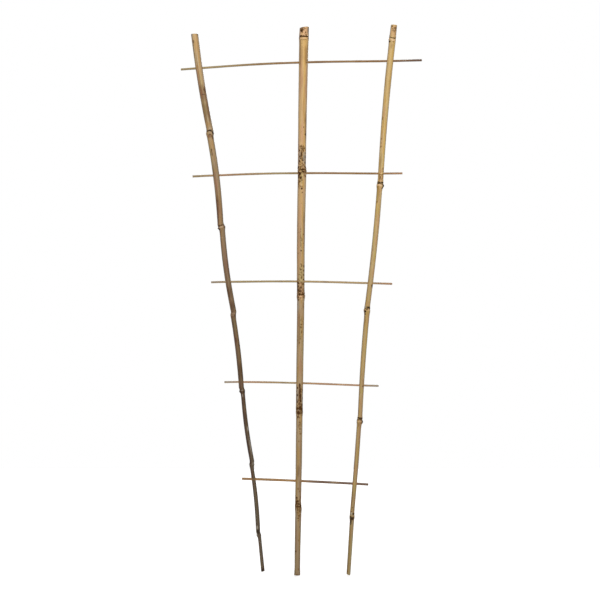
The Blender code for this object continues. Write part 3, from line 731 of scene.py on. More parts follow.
def stick_route(stick, culms):
    """The five points that the rung goes through, from its left end to its right end."""
    names = ("left", "centre", "right")
    left, centre, right = (stick_crossing(stick, culms[name], culms["centre"]) for name in names)
    left_end = left - stick.left_overhang * (centre - left)
    right_end = right - stick.right_overhang * (centre - right)
    left_end[2] = left[2] + stick.left_end_slope * (left_end[0] - left[0])
    right_end[2] = right[2] + stick.right_end_slope * (right_end[0] - right[0])
    return np.array([left_end, left, centre, right, right_end])


def smooth_curve(route, sides, left_bow):
    """Points at sides along a smooth curve through the route, and the curve's directions there."""
    chords = route[[1, 2, 3, 4, 4]] - route[[0, 0, 1, 2, 3]]
    slopes = chords / chords[:, :1]
    index = np.clip(np.searchsorted(route[:, 0], sides) - 1, 0, 3)
    first, second = route[index], route[index + 1]
    span = (second - first)[:, :1]
    u = (sides[:, None] - first[:, :1]) / span
    curve = (
        first * (2 * u**3 - 3 * u**2 + 1)
        + slopes[index] * span * (u**3 - 2 * u**2 + u)
        + second * (3 * u**2 - 2 * u**3)
        + slopes[index + 1] * span * (u**3 - u**2)
    )
    curve[:, 2] += np.where(index == 1, left_bow * MM * (4 * u * (1 - u))[:, 0] ** 1.5, 0.0)
    return curve, unit(slopes[index] * (1 - u) + slopes[index + 1] * u)


class Wire:
    """A node's output. Arithmetic on it adds Math nodes, so it is for numbers and not for colours."""

    def __init__(self, shade, socket):
        self.shade = shade
        self.socket = socket

    def __add__(self, other):
        return self.shade.math("ADD", self, other)

    def __sub__(self, other):
        return self.shade.math("SUBTRACT", self, other)

    def __rsub__(self, other):
        return self.shade.math("SUBTRACT", other, self)

    def __mul__(self, other):
        return self.shade.math("MULTIPLY", self, other)

    __radd__ = __add__
    __rmul__ = __mul__

    def most(self, other):
        """The greater of the two."""
        return self.shade.math("MAXIMUM", self, other)

    def step(self, low, high):
        """0 up to low, 1 from high on, and a soft rise between them."""
        return self.shade.node(
            "ShaderNodeMapRange",
            {"interpolation_type": "SMOOTHSTEP"},
            {"Value": self, "From Min": low, "From Max": high},
        )


class Shade:
    """The nodes of a material, or of the world."""

    def __init__(self, owner):
        self.owner = owner
        owner.use_nodes = True
        self.tree = owner.node_tree
        self.tree.nodes.clear()

    def node(self, kind, settings=None, sockets=None, output=0):
        """Adds a node with its settings and its sockets' values or links, and returns an output."""
        made = self.tree.nodes.new(kind)
        for name, value in (settings or {}).items():
            if name == "stops":
                self.set_stops(made.color_ramp, value)
            else:
                setattr(made, name, value)
        for name, value in (sockets or {}).items():
            if isinstance(value, Wire):
                self.tree.links.new(value.socket, made.inputs[name])
            else:
                made.inputs[name].default_value = value
        return Wire(self, made.outputs[output]) if made.outputs else None

    def set_stops(self, ramp, stops):
        """Gives a colour ramp its places and colours."""
        for place, _ in stops[2:]:
            ramp.elements.new(place)
        for element, (place, colour) in zip(ramp.elements, stops):
            element.position = place
            element.color = (*colour, 1)

    def math(self, operation, *values):
        """A Math node with numbers or outputs."""
        return self.node("ShaderNodeMath", {"operation": operation}, dict(enumerate(values)))

    def attribute(self, name, output="Fac"):
        """What the mesh holds under a name, as a number or as a vector."""
        return self.node("ShaderNodeAttribute", {"attribute_name": name}, output=output)

    def stretched(self, place, shares):
        """The place with its three lengths multiplied by shares."""
        return self.node("ShaderNodeVectorMath", {"operation": "MULTIPLY"}, {0: place, 1: shares}, "Vector")

    def noise(self, place, scale, detail=2.0, roughness=0.5, distortion=0.0):
        """A cloudy pattern round 0.5, with about as many clouds to a metre as its scale."""
        sockets = {
            "Vector": place,
            "Scale": scale,
            "Detail": detail,
            "Roughness": roughness,
            "Distortion": distortion,
        }
        return self.node("ShaderNodeTexNoise", None, sockets, "Fac")

    def mix(self, first, second, share, blend="MIX"):
        """One colour laid over another by a share."""
        first, second = (c if isinstance(c, Wire) else (*c, 1) for c in (first, second))
        sockets = {0: share, 6: first, 7: second}
        return self.node("ShaderNodeMix", {"data_type": "RGBA", "blend_type": blend}, sockets, 2)

    def lit(self, colour, amount):
        """A colour made lighter or darker by a number."""
        grey = self.node("ShaderNodeCombineColor", None, {0: amount, 1: amount, 2: amount}, "Color")
        return self.mix(colour, grey, 1.0, "MULTIPLY")

    def bump(self, height, strength, distance):
        """A normal for fine relief, from its height as a share of a distance."""
        sockets = {"Strength": strength, "Distance": distance, "Height": height}
        return self.node("ShaderNodeBump", None, sockets, "Normal")

    def seen_plainly(self):
        """1 for what the camera sees itself, in a shiny surface or through glass, and 0 for other light."""
        rays = ("Camera", "Glossy", "Transmission")
        camera, glossy, through = (self.node("ShaderNodeLightPath", output=f"Is {ray} Ray") for ray in rays)
        return camera.most(glossy).most(through)

    def finish(self, sockets):
        """Closes a material with one plain surface, and returns it."""
        surface = self.node("ShaderNodeBsdfPrincipled", None, sockets)
        self.node("ShaderNodeOutputMaterial", None, {"Surface": surface})
        return self.owner


def bamboo_skin(name, look):
    """Culm skin: a colour for each height, lengthwise fibres, mottling by the nodes, stains and scars,
    painted shade on the sides and at the holes' rims, and painted highlights on the node ridges.
    """
    shade = Shade(bpy.data.materials.new(name))
    place = shade.attribute("culm_place", "Vector")
    fine_fibres = shade.noise(shade.stretched(place, (1.0, 1.0, 0.02)), 2600.0, 3.0)
    streaks = shade.noise(shade.stretched(place, (1.0, 1.0, 0.03)), 700.0, 3.0)
    bands = shade.noise(shade.stretched(place, (1.0, 1.0, 0.05)), 220.0, 2.0)
    clouds = shade.noise(shade.stretched(place, (1.0, 1.0, 0.35)), 150.0, 4.0, 0.6)
    squiggles = shade.noise(shade.stretched(place, (1.0, 1.0, 0.7)), 350.0, 3.0, 0.6, 1.2)
    specks = shade.noise(shade.stretched(place, (1.0, 1.0, 0.6)), 1000.0, 3.0, 0.6, 0.8)
    grain = shade.noise(place, 700.0, 3.0, 0.6)
    ragged = (grain - 0.5) * 1.5
    drawn_out = (streaks - 0.5) * 1.8 + (clouds - 0.5) * 0.8

    stops = (
        (0.0, look.foot_colour),
        (0.25, look.lower_colour),
        (0.5, look.middle_colour),
        (0.75, look.upper_colour),
        (1.0, look.top_colour),
    )
    along = shade.attribute("up_the_cane")
    colour = shade.node("ShaderNodeValToRGB", {"stops": stops}, {"Fac": along}, "Color")

    # The tints change hue and saturation only, so that a stripe is as light as the skin round it
    colour = shade.mix(colour, look.golden_colour, bands.step(0.5, 0.6) * look.tinting, "COLOR")
    colour = shade.mix(colour, look.pink_colour, (1 - bands).step(0.52, 0.62) * look.tinting, "COLOR")
    for kind in ("olive", "golden", "pink"):
        share = (shade.attribute(kind) + drawn_out).step(0.0, 0.5)
        colour = shade.mix(colour, getattr(look, kind + "_colour"), share * look.tinting, "COLOR")
    # Painted shade: the left and right sides, as seen from the front, are made greyer and darker, as the
    # light falls off towards the edges
    side = shade.attribute("side")
    flank_shade = (drawn_out * 0.25 + side).step(0.5, 1.0).most((drawn_out * 0.25 - side).step(0.5, 1.0))
    colour = shade.mix(colour, look.grey_colour, flank_shade * look.flank_shade * 0.55, "COLOR")
    # Laid over with the shade colour: dusky marks, the painted shade on the sides, and darker streaks and
    # bands
    for share, cover in (
        ((shade.attribute("dusky_and_edge_shade") + drawn_out).step(0.0, 0.5), look.shading),
        (flank_shade, look.flank_shade * 0.6),
        (streaks.step(0.52, 0.72), look.streaking),
        ((1 - bands).step(0.5, 0.66), look.streaking * 0.7),
    ):
        colour = shade.mix(colour, look.shade_colour, share * cover, "MULTIPLY")
    colour = shade.lit(colour, fine_fibres * 0.4 + (streaks * 0.3 + bands * 0.3) + 0.5)
    colour = shade.mix(colour, look.stain_colour, clouds.step(0.6, 0.8) * look.mottling * 0.6)

    near_node = shade.attribute("near_node")
    mottled = shade.attribute("mottled").step(0.0, 0.4)
    squiggled = squiggles + mottled * 0.16 + near_node * 0.03
    specked = (specks + mottled * 0.1 + near_node * 0.05).step(0.67, 0.74)
    spotted = squiggled.step(0.66, 0.71).most(specked)
    spots = shade.mix(look.stain_colour, look.groove_colour, squiggled.step(0.7, 0.79))
    colour = shade.mix(colour, spots, spotted * look.mottling)
    colour = shade.lit(colour, (0.64 - squiggles).step(0.18, 0.24) * mottled * 0.22 + 1.0)

    # The pale ridge under each groove: paler skin with a painted highlight where the ridge catches the
    # light
    ridge = (shade.attribute("ridge") + ragged * 0.3).step(0.2, 0.8)
    colour = shade.mix(colour, look.ridge_and_highlight_colour, ridge * (fine_fibres + 0.15))
    halo = (shade.attribute("dark") + ragged * 0.6).step(-0.5, 0.3)
    colour = shade.mix(colour, look.stain_colour, halo * 0.4)
    scars = {}
    # Pale marks by the grooves are paler skin with a painted highlight; grey, brown and dark marks are
    # stains and scars
    for kind, tint, cover in (
        ("pale", look.ridge_and_highlight_colour, 0.35),
        ("grey", look.grey_colour, 0.4),
        ("brown", look.stain_colour, 0.5),
        ("dark", look.groove_colour, 0.8),
    ):
        scars[kind] = (shade.attribute(kind) + ragged).step(-0.15, 0.35)
        colour = shade.mix(colour, tint, scars[kind] * (specks * 0.6 + cover))
    groove = shade.attribute("groove") + ragged * 0.25 + (streaks - 0.5) * 0.8
    colour = shade.mix(colour, look.stain_colour, groove.step(0.1, 0.5) * 0.55)
    colour = shade.mix(colour, look.groove_colour, groove.step(0.35, 0.85) * 0.95)
    mouth = shade.attribute("hole_mouth")
    raw = (mouth + ragged * 0.5).step(0.3, 0.8)
    colour = shade.mix(colour, look.raw_colour, raw * 0.6)
    # A dark line right at each hole's rim: darker wood at the cut edge, and painted shade in the gap round
    # the rung
    colour = shade.mix(colour, look.groove_colour, mouth.step(0.86, 1.0) * 0.55)

    rough = fine_fibres * 0.1 + spotted * 0.15 + scars["dark"] * 0.2
    rough = rough + groove.step(0.35, 0.85) * 0.25 + raw * 0.2
    relief = fine_fibres * 0.5 + streaks * 0.35 + specks * 0.25
    relief = relief - scars["dark"] * 0.8 - scars["brown"] * 0.2
    return shade.finish(
        {
            "Base Color": colour,
            "Roughness": rough + look.roughness,
            "Normal": shade.bump(relief - spotted * 0.2, look.relief, RELIEF_DEPTH),
            "Specular IOR Level": 0.15,
            "Coat Weight": look.wax,
            "Coat Roughness": 0.35,
        }
    )


def cut_bamboo(name, sawn_colour, stain_colour, dark_colour):
    """Sawn ends and hole walls: pale ground wood with dark dots of cut vessels."""
    shade = Shade(bpy.data.materials.new(name))
    place = shade.attribute("wood_place", "Vector")
    cells = shade.node("ShaderNodeTexVoronoi", None, {"Vector": place, "Scale": 1700.0}, "Distance")
    grain = shade.noise(place, 900.0, 3.0)
    dirt = shade.noise(place, 260.0, 3.0)
    colour = shade.mix(sawn_colour, stain_colour, dirt.step(0.45, 0.75) * 0.55)
    vessels = 1 - cells.step(0.18, 0.34)
    colour = shade.mix(colour, dark_colour, vessels * 0.6)
    colour = shade.lit(colour, grain * 0.4 + 0.78)
    relief = grain - vessels
    normal = shade.bump(relief, 0.5, RELIEF_DEPTH)
    return shade.finish({"Base Color": colour, "Roughness": grain * 0.2 + 0.7, "Normal": normal})


def hollow_bamboo(name, look):
    """Papery lining of the hollow, with lengthwise wrinkles."""
    shade = Shade(bpy.data.materials.new(name))
    place = shade.attribute("wood_place", "Vector")
    wrinkles = shade.noise(shade.stretched(place, (1.0, 1.0, 0.08)), 900.0, 3.0)
    dust = shade.noise(place, 500.0, 3.0)
    colour = shade.mix(look.sawn_colour, look.stain_colour, wrinkles.step(0.4, 0.75) * 0.6)
    colour = shade.lit(colour, dust * 0.5 + 0.55)
    normal = shade.bump(wrinkles + dust * 0.4, 0.5, WRINKLE_DEPTH)
    return shade.finish({"Base Color": colour, "Roughness": dust * 0.2 + 0.75, "Normal": normal})


def rung_skin(name, look, tones):
    """A thin stick: a tone for each stretch of its length, long fibres, grey weathering and dark specks."""
    shade = Shade(bpy.data.materials.new(name))
    place = shade.attribute("culm_place", "Vector")
    along = shade.attribute("up_the_cane")
    fine_fibres = shade.noise(shade.stretched(place, (1.0, 1.0, 0.02)), 3200.0, 3.0)
    streaks = shade.noise(shade.stretched(place, (1.0, 1.0, 0.04)), 900.0, 2.0)
    patches = shade.noise(shade.stretched(place, (0.4, 0.4, 0.3)), 130.0, 3.0, 0.55)
    specks = shade.noise(shade.stretched(place, (1.0, 1.0, 0.35)), 1100.0, 2.0)
    stops = tuple(zip(TINT_PLACES, tones))
    colour = shade.node("ShaderNodeValToRGB", {"stops": stops}, {"Fac": along}, "Color")
    colour = shade.mix(colour, look.pale_colour, patches.step(0.52, 0.72) * look.patchiness)
    colour = shade.mix(colour, look.dark_colour, (1 - patches).step(0.52, 0.75) * look.patchiness)
    colour = shade.mix(colour, look.dark_colour, streaks.step(0.5, 0.75) * look.streaking)
    colour = shade.mix(colour, look.dark_colour, specks.step(0.66, 0.74) * 0.6)
    colour = shade.lit(colour, fine_fibres * 0.3 + 0.85)
    relief = fine_fibres + streaks * 0.6 - specks.step(0.66, 0.74) * 0.6
    return shade.finish(
        {
            "Base Color": colour,
            "Roughness": fine_fibres * 0.15 + look.roughness,
            "Normal": shade.bump(relief, look.relief, RELIEF_DEPTH),
        }
    )


def set_attribute(mesh, name, values):
    """Writes one number or one vector for each vertex."""
    kind, key = ("FLOAT", "value") if values.ndim == 1 else ("FLOAT_VECTOR", "vector")
    layer = mesh.attributes.new(name, kind, "POINT")
    layer.data.foreach_set(key, values.astype(np.float32).ravel())


def vertex_places(mesh):
    """Where the mesh's vertices lie."""
    places = np.empty(len(mesh.vertices) * 3, np.float32)
    mesh.vertices.foreach_get("co", places)
    return places.reshape(-1, 3).astype(float)


def lofted(name, rings, materials, first_pole, last_pole):
    """A closed mesh through rings with as many points each, closed by a point at either end.
    Each band between two rings has a material's number, and each fan takes that of its first ring."""
    count, sides = len(rings), len(rings[0])
    vertices = np.concatenate([np.concatenate(rings), [first_pole, last_pole]])
    first, last = count * sides, count * sides + 1
    faces = []
    numbers = []
    for band in range(count - 1):
        low, high = band * sides, (band + 1) * sides
        for step in range(sides):
            after = (step + 1) % sides
            faces.append((low + step, low + after, high + after, high + step))
            numbers.append(materials[band])
    top = (count - 1) * sides
    for step in range(sides):
        after = (step + 1) % sides
        faces.append((after, step, first))
        faces.append((top + step, top + after, last))
        numbers += [materials[0], materials[-1]]
    mesh = bpy.data.meshes.new(name)
    mesh.from_pydata(vertices.tolist(), [], faces)
    mesh.polygons.foreach_set("material_index", numbers)
    mesh.validate()
    return mesh


def new_piece(name, mesh, materials=()):
    """An object in the scene that shows the mesh."""
    piece = bpy.data.objects.new(name, mesh)
    bpy.context.scene.collection.objects.link(piece)
    for material in materials:
        mesh.materials.append(material)
    return piece


def smoothed(mesh):
    """Shades the mesh smoothly up to its sharp edges."""
    mesh.shade_smooth()
    mesh.set_sharp_from_angle(angle=SHARP_ANGLE)


def carve(piece, cutter):
    """Cuts the cutter's bodies out of the piece, and removes the cutter."""
    boolean = piece.modifiers.new("holes", "BOOLEAN")
    boolean.operation = "DIFFERENCE"
    boolean.solver = "EXACT"
    boolean.object = cutter
    bpy.context.view_layer.update()
    carved = bpy.data.meshes.new_from_object(piece.evaluated_get(bpy.context.evaluated_depsgraph_get()))
    before = piece.data
    piece.modifiers.clear()
    piece.data = carved
    bpy.data.meshes.remove(before)
    bpy.data.objects.remove(cutter, do_unlink=True)


def ring_heights(culm, crossings):
    """Heights of the rings up the skin, close together by the nodes and the holes."""
    low, high = culm.foot + 2 * SAWN_EDGE, culm.top - 2 * SAWN_EDGE
    slack = max(abs(culm.form.foot_slope), abs(culm.form.top_slope)) * culm.form.top_thickness * MM / 2
    low, high = low + slack, high - slack
    sharp_marks = [mark for kind in SHARP_KINDS for mark in culm.marks[kind]]
    height = low
    heights = [low]
    while height < high:
        gap = OPEN_GAP
        for node in culm.nodes:
            if abs(height - node.height) < STAIN_REACH:
                gap = min(gap, STAIN_GAP)
            if abs(height - node.height + NEAR_NODE_DROP) < NEAR_NODE:
                gap = min(gap, NODE_GAP)
        for mark in sharp_marks:
            if abs(height - mark.height * MM) < mark.half_height * MM + MARK_GAP:
                gap = min(gap, max(MARK_GAP, mark.half_height * MM / MARK_RINGS))
        for crossing in crossings:
            if abs(height - crossing[2]) < NEAR_HOLE:
                gap = min(gap, HOLE_GAP)
        height += gap
        heights.append(min(height, high))
    return np.array(heights)


def hole_mouths(points, drills):
    """How close points lie to the rim of a drilled hole: 1 at the rim and 0 well away from it."""
    closeness = np.zeros(len(points))
    for middle, along, radius in drills:
        off = points - middle
        beside = np.linalg.norm(off - (off @ along)[:, None] * along, axis=1)
        near = np.abs(off @ along) < MOUTH_DEPTH * radius
        closeness = np.maximum(closeness, near * (1 - np.clip((beside - radius) / MOUTH_REACH, 0, 1)))
    return closeness


def culm_rings(culm, sides, crossings, rng):
    """The rings of the whole cane, each band's material and the two poles: from the foot's middle or
    its hollow, up the skin, over the sawn top and down into the top's hollow."""
    angles = FRONT + math.pi + math.tau * np.arange(sides) / sides  # with the seam at the back
    form = culm.form

    def ring(height, radius, slope=None):
        """One ring round the culm, square to it or on a sawn face."""
        height = np.full(sides, height)
        return culm.points(height, angles, np.broadcast_to(radius, sides), slope)

    def sawn_rim(height, slope, inwards):
        """The two rings of a sawn end's worn rim: on the face and on the skin."""
        skin = culm.radius(np.full(sides, height), angles)
        worn = rng.uniform(-RIM_WEAR, RIM_WEAR, sides) * MM
        face = ring(height, skin - SAWN_EDGE, slope)
        edge = ring(height + inwards * SAWN_EDGE, skin, slope)
        edge[:, 2] += worn
        return face, edge

    def hollow(opening, end, slope):
        """Rings from the septum out to the sawn face, and the septum's middle."""
        outwards = math.copysign(1, opening - end)
        stops = [end, end + outwards * LUMEN_SHOULDER]
        stops += list(np.linspace(stops[1], opening, LUMEN_RINGS)[1:])
        rings = []
        for index, height in enumerate(stops):
            share = LUMEN_END_SHARE if index == 0 else 1.0
            wave = 1 + LUMEN_WAVE_SHARE * np.sin(LUMEN_WAVES * angles + index)
            radius = share * culm.lumen_radius(np.array([height]))[0] * wave
            rings.append(ring(height, radius, slope if height == opening else None))
        return rings, culm.middle(np.array([end]))[0]

    foot_face, foot_edge = sawn_rim(culm.foot, form.foot_slope, 1)
    top_face, top_edge = sawn_rim(culm.top, form.top_slope, -1)
    if form.foot_hollow:
        inner, first_pole = hollow(culm.foot, culm.nodes[0].height - SEPTUM / 2, form.foot_slope)
        rings = inner
        materials = [HOLLOW] * (len(inner) - 1) + [SAWN]
    else:
        skin = culm.radius(np.full(sides, culm.foot), angles)
        rings = [ring(culm.foot, share * skin, form.foot_slope) for share in FOOT_FACE_SHARES]
        first_pole = culm.middle(np.array([culm.foot]))[0]
        materials = [SAWN] * len(rings)
    heights = ring_heights(culm, crossings)
    grid_height, grid_angle = np.meshgrid(heights, angles, indexing="ij")
    skin = culm.points(grid_height, grid_angle, culm.radius(grid_height, grid_angle))
    rings += [foot_face, foot_edge, *skin, top_edge, top_face]
    materials += [SKIN] * (len(skin) + 3)
    inner, last_pole = hollow(culm.top, culm.nodes[-1].height + SEPTUM / 2, form.top_slope)
    rings += inner[::-1]
    materials += [SAWN] + [HOLLOW] * (len(inner) - 1)
    return rings, materials, first_pole, last_pole


def drill_body(middle, along, radius, reach, rng):
    """A round drill with a slightly ragged wall, as rings and poles."""
    side = unit(np.cross(along, [0.0, 1.0, 0.0]))
    other = np.cross(along, side)
    angles = math.tau * np.arange(DRILL_SIDES) / DRILL_SIDES
    outwards = np.cos(angles)[:, None] * side + np.sin(angles)[:, None] * other
    rings = []
    for end in np.linspace(-reach, reach, DRILL_RINGS):
        ragged = radius * (1 + rng.uniform(*DRILL_WEAR, DRILL_SIDES))[:, None]
        rings.append(middle + end * along + ragged * outwards)
    return rings, middle - reach * along, middle + reach * along


class Corners:
    """The corners of a mesh's faces, with the vertex and the face of each, for its map for baking."""

    def __init__(self, mesh):
        self.mesh = mesh
        self.vertex = np.empty(len(mesh.loops), np.int32)
        mesh.loops.foreach_get("vertex_index", self.vertex)
        self.totals = np.empty(len(mesh.polygons), np.int32)
        mesh.polygons.foreach_get("loop_total", self.totals)
        self.first = np.concatenate([[0], np.cumsum(self.totals)[:-1]])
        self.face = np.repeat(np.arange(len(self.totals)), self.totals)

    def mean(self, values):
        """The mean over its face, at each corner."""
        return (np.add.reduceat(values, self.first) / self.totals)[self.face]

    def unrolled(self, turn):
        """Turns round the middle, moved by whole turns so that no face is torn at the seam."""
        return turn + np.round(turn[self.first][self.face] - turn)

    def write_map(self, across, up):
        """Writes the map for baking."""
        layer = self.mesh.uv_layers.new(name="OFBake")
        layer.uv.foreach_set("vector", np.stack([across, up], 1).astype(np.float32).ravel())


def lay_out_culm(mesh, culm, columns, crossings):
    """A map for baking: the skin in upright columns side by side, and in the last one the sawn ends, the
    hollows and a strip for the near and the far wall of each hole."""
    corners = Corners(mesh)
    numbers = np.empty(len(mesh.polygons), np.int32)
    mesh.polygons.foreach_get("material_index", numbers)
    inner = numbers[corners.face] != SKIN
    sawn = numbers[corners.face] == SAWN
    height, angle, distance = culm.place_of(vertex_places(mesh))
    tall = height[corners.vertex]
    across = (np.cos(angle) * distance)[corners.vertex] / FACE_REACH
    behind = (np.sin(angle) * distance)[corners.vertex] / FACE_REACH

    turn = corners.unrolled(((angle - FRONT - math.pi) / math.tau % 1.0)[corners.vertex])
    turn -= np.floor(corners.mean(turn))
    share = (tall - culm.foot) / (culm.top - culm.foot)
    mean_share = corners.mean(share)
    column = np.clip(np.floor(mean_share * columns), 0, columns - 1)
    u = (column + MAP_MARGIN + (1 - 2 * MAP_MARGIN) * turn) / (columns + 1)
    v = END_MARGIN + (1 - 2 * END_MARGIN) * (share * columns - column)

    at_top = (mean_share > 0.5).astype(int)
    sawn_v = np.array(SAWN_CELLS)[at_top] + SAWN_CELL_HEIGHT * behind
    hollow_v = np.array(HOLLOW_CELLS)[at_top] + HOLLOW_CELL_HEIGHT * (share * columns - column)
    hollow_u = MAP_MARGIN + (1 - 2 * MAP_MARGIN) * turn
    inner_u = np.where(sawn, 0.5 + SAWN_CELL_WIDTH * across, hollow_u)
    inner_v = np.where(sawn, sawn_v, hollow_v)
    levels = np.array([crossing[2] for crossing in crossings])
    mean_tall = corners.mean(tall)
    hole = np.abs(mean_tall[:, None] - levels).argmin(1)
    wall = sawn & (np.abs(mean_tall - levels[hole]) < NEAR_HOLE)
    far = corners.mean(behind) > 0
    strip = WALL_CELLS + WALL_CELL_STEP * (2 * hole + far)
    up_the_wall = np.clip((tall - levels[hole]) / WALL_REACH, -1, 1)
    inner_v = np.where(wall, strip + WALL_CELL_HEIGHT * up_the_wall, inner_v)
    u = np.where(inner, (columns + np.clip(inner_u, INNER_MARGIN, 1 - INNER_MARGIN)) / (columns + 1), u)
    corners.write_map(u, np.where(inner, inner_v, v))


def write_patterns(mesh, culm, drills):
    """Writes what the finishes read at each vertex: its places, and how near holes, nodes and marks are."""
    places = vertex_places(mesh)
    height, angle, _ = culm.place_of(places)
    across = PATTERN_RADIUS * np.cos(angle) + culm.seed * CANE_STEP
    behind = PATTERN_RADIUS * np.sin(angle)
    set_attribute(mesh, "culm_place", np.stack([across, behind, height], 1))
    set_attribute(mesh, "wood_place", places)
    set_attribute(mesh, "up_the_cane", (height - culm.foot) / (culm.top - culm.foot))
    set_attribute(mesh, "hole_mouth", hole_mouths(places, drills))
    groove = np.zeros(len(places))
    ridge = np.zeros(len(places))
    near = np.zeros(len(places))
    for knot in culm.nodes:
        over = culm.over_groove(knot, height, angle)
        groove = np.maximum(groove, knot.ring * hump(over, GROOVE_STAIN))
        # The pale ridge, paler skin with a painted highlight, lies a little under the groove
        ridge = np.maximum(ridge, knot.pale * hump(over + RIDGE_DROP * culm.node_length, RIDGE_HEIGHT))
        near = np.maximum(near, hump(over + MOTTLING_DROP, MOTTLING_HEIGHT))
    set_attribute(mesh, "groove", groove)
    set_attribute(mesh, "ridge", ridge)
    set_attribute(mesh, "near_node", near)
    # From -1 at the left edge to 1 at the right edge as seen from the front; it places the painted shade on
    # the sides
    set_attribute(mesh, "side", np.cos(angle))
    for kind, marks in culm.marks.items():
        closest = np.full(len(places), -1.0)
        for mark in marks:
            closest = np.maximum(closest, culm.closeness(mark, height, angle))
        set_attribute(mesh, kind, closest)


def dress_cane(name, node, slot, culm, look, drills):
    """Makes a cane's mesh with its holes, patterns and materials, in place of the CAD node."""
    rng = np.random.default_rng(culm.seed)
    crossings = [middle for middle, _, _ in drills]
    rings, materials, first_pole, last_pole = culm_rings(culm, look.sides, crossings, rng)
    sawn = cut_bamboo(name + "_sawn", look.sawn_colour, look.stain_colour, look.groove_colour)
    skins = [bamboo_skin(name, look), sawn, hollow_bamboo(name + "_hollow", look)]
    piece = new_piece(name, lofted(name, rings, materials, first_pole, last_pole), skins)
    bodies = []
    for middle, along, radius in drills:
        reach = culm.line(np.array([middle[2]]))[0, 2] * DRILL_REACH
        wall, start, stop = drill_body(middle, along, radius, reach, rng)
        bodies.append(lofted("drill", wall, [SAWN] * len(wall), start, stop))
    carve(piece, joined("drills", bodies, skins))
    write_patterns(piece.data, culm, drills)
    lay_out_culm(piece.data, culm, BAKE_COLUMNS[slot], crossings)
    smoothed(piece.data)
    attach(piece, BODY)
    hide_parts(node)


def joined(name, meshes, materials):
    """One object that holds several meshes' bodies."""
    vertices = []
    faces = []
    numbers = []
    for mesh in meshes:
        start = len(vertices)
        vertices += [vertex.co.copy() for vertex in mesh.vertices]
        faces += [tuple(start + index for index in polygon.vertices) for polygon in mesh.polygons]
        numbers += [polygon.material_index for polygon in mesh.polygons]
        bpy.data.meshes.remove(mesh)
    whole = bpy.data.meshes.new(name)
    whole.from_pydata(vertices, [], faces)
    whole.polygons.foreach_set("material_index", numbers)
    return new_piece(name, whole, materials)


def stick_rings(route, left_bow, thickness, sides, rng):
    """Rings along a rung, with its faint waves and its sawn ends, their materials, the two poles and the
    angles round it."""
    length = route[-1][0] - route[0][0]
    steps = np.linspace(route[0][0] + SAWN_EDGE, route[-1][0] - SAWN_EDGE, int(length / STICK_GAP))
    stops = np.concatenate([[route[0][0]], steps, [route[-1][0]]])
    curve, along = smooth_curve(route, stops, left_bow)
    side = unit(np.cross(along, [0.0, 1.0, 0.0]))
    other = np.cross(along, side)
    angles = math.tau * np.arange(sides) / sides
    phases = rng.uniform(0, math.tau, 6)  # the last two are spare
    long_wave, short_wave = (
        share * np.sin(stops * pace + phase) for (share, pace), phase in zip(STICK_WAVES, phases[:2])
    )
    wide_lobes, narrow_lobes = (
        share * np.cos(lobes * angles + phase) for (share, lobes), phase in zip(STICK_LOBES, phases[2:4])
    )
    radius = np.full((len(stops), sides), thickness / 2)
    radius *= (1 + long_wave + short_wave)[:, None]
    radius *= 1 + wide_lobes + narrow_lobes
    radius[[0, -1]] -= SAWN_EDGE
    out = np.cos(angles)[None, :, None] * side[:, None] + np.sin(angles)[None, :, None] * other[:, None]
    grid = curve[:, None] + radius[..., None] * out
    worn = rng.uniform(0, STICK_WEAR, (2, sides)) * MM
    grid[0, :, 0] += worn[0]
    grid[-1, :, 0] -= worn[1]
    first_face, last_face = (
        [curve[end] + share * (grid[end] - curve[end]) for share in STICK_FACE_SHARES] for end in (0, -1)
    )
    rings = [*first_face, *grid, *last_face[::-1]]
    materials = [SAWN] * 2 + [SKIN] * (len(grid) - 1) + [SAWN] * 2
    return rings, materials, curve[0], curve[-1], angles


def lay_out_stick(mesh, rings, sides):
    """A map for baking: the stick's length folded into rows."""
    corners = Corners(mesh)
    band = np.minimum(corners.vertex // sides, rings - 1)
    turn = corners.unrolled((corners.vertex % sides) / sides)
    share = band / (rings - 1)
    column = np.clip(np.floor(corners.mean(share) * STICK_COLUMNS), 0, STICK_COLUMNS - 1)
    u = (column + MAP_MARGIN + (1 - 2 * MAP_MARGIN) * np.clip(turn, 0, 1)) / STICK_COLUMNS
    v = MAP_MARGIN + (1 - 2 * MAP_MARGIN) * (share * STICK_COLUMNS - column)
    corners.write_map(u, v)


def tone(red, green, blue):
    """A colour given as a screen shows it, from 0 to 255, as the shader counts it."""
    shares = (red / 255, green / 255, blue / 255)
    return tuple(c / 12.92 if c <= 0.04045 else ((c + 0.055) / 1.055) ** 2.4 for c in shares)


def colour_property(name, description, default):
    """A colour setting, as the shader counts it."""
    return bpy.props.FloatVectorProperty(
        name=name, description=description, default=default, size=3, min=0.0, max=1.0, subtype="COLOR"
    )


def tone_property(name, description, red, green, blue):
    """A colour setting, given as a screen shows it."""
    return colour_property(name, description, tone(red, green, blue))


def share_property(name, description, default):
    """A setting from 0 to 1."""
    return bpy.props.FloatProperty(
        name=name, description=description, default=default, min=0.0, max=1.0, subtype="FACTOR"
    )


def strength_property(name, description, default):
    """A light's strength."""
    return bpy.props.FloatProperty(name=name, description=description, default=default, min=0.0)


def length_property(name, description, default):
    """A length setting, in metres."""
    return bpy.props.FloatProperty(
        name=name, description=description, default=default, min=0.0, unit="LENGTH", subtype="DISTANCE"
    )


def count_property(name, description, default):
    """A whole number that a round form can have as its sides."""
    return bpy.props.IntProperty(name=name, description=description, default=default, min=8, max=128)


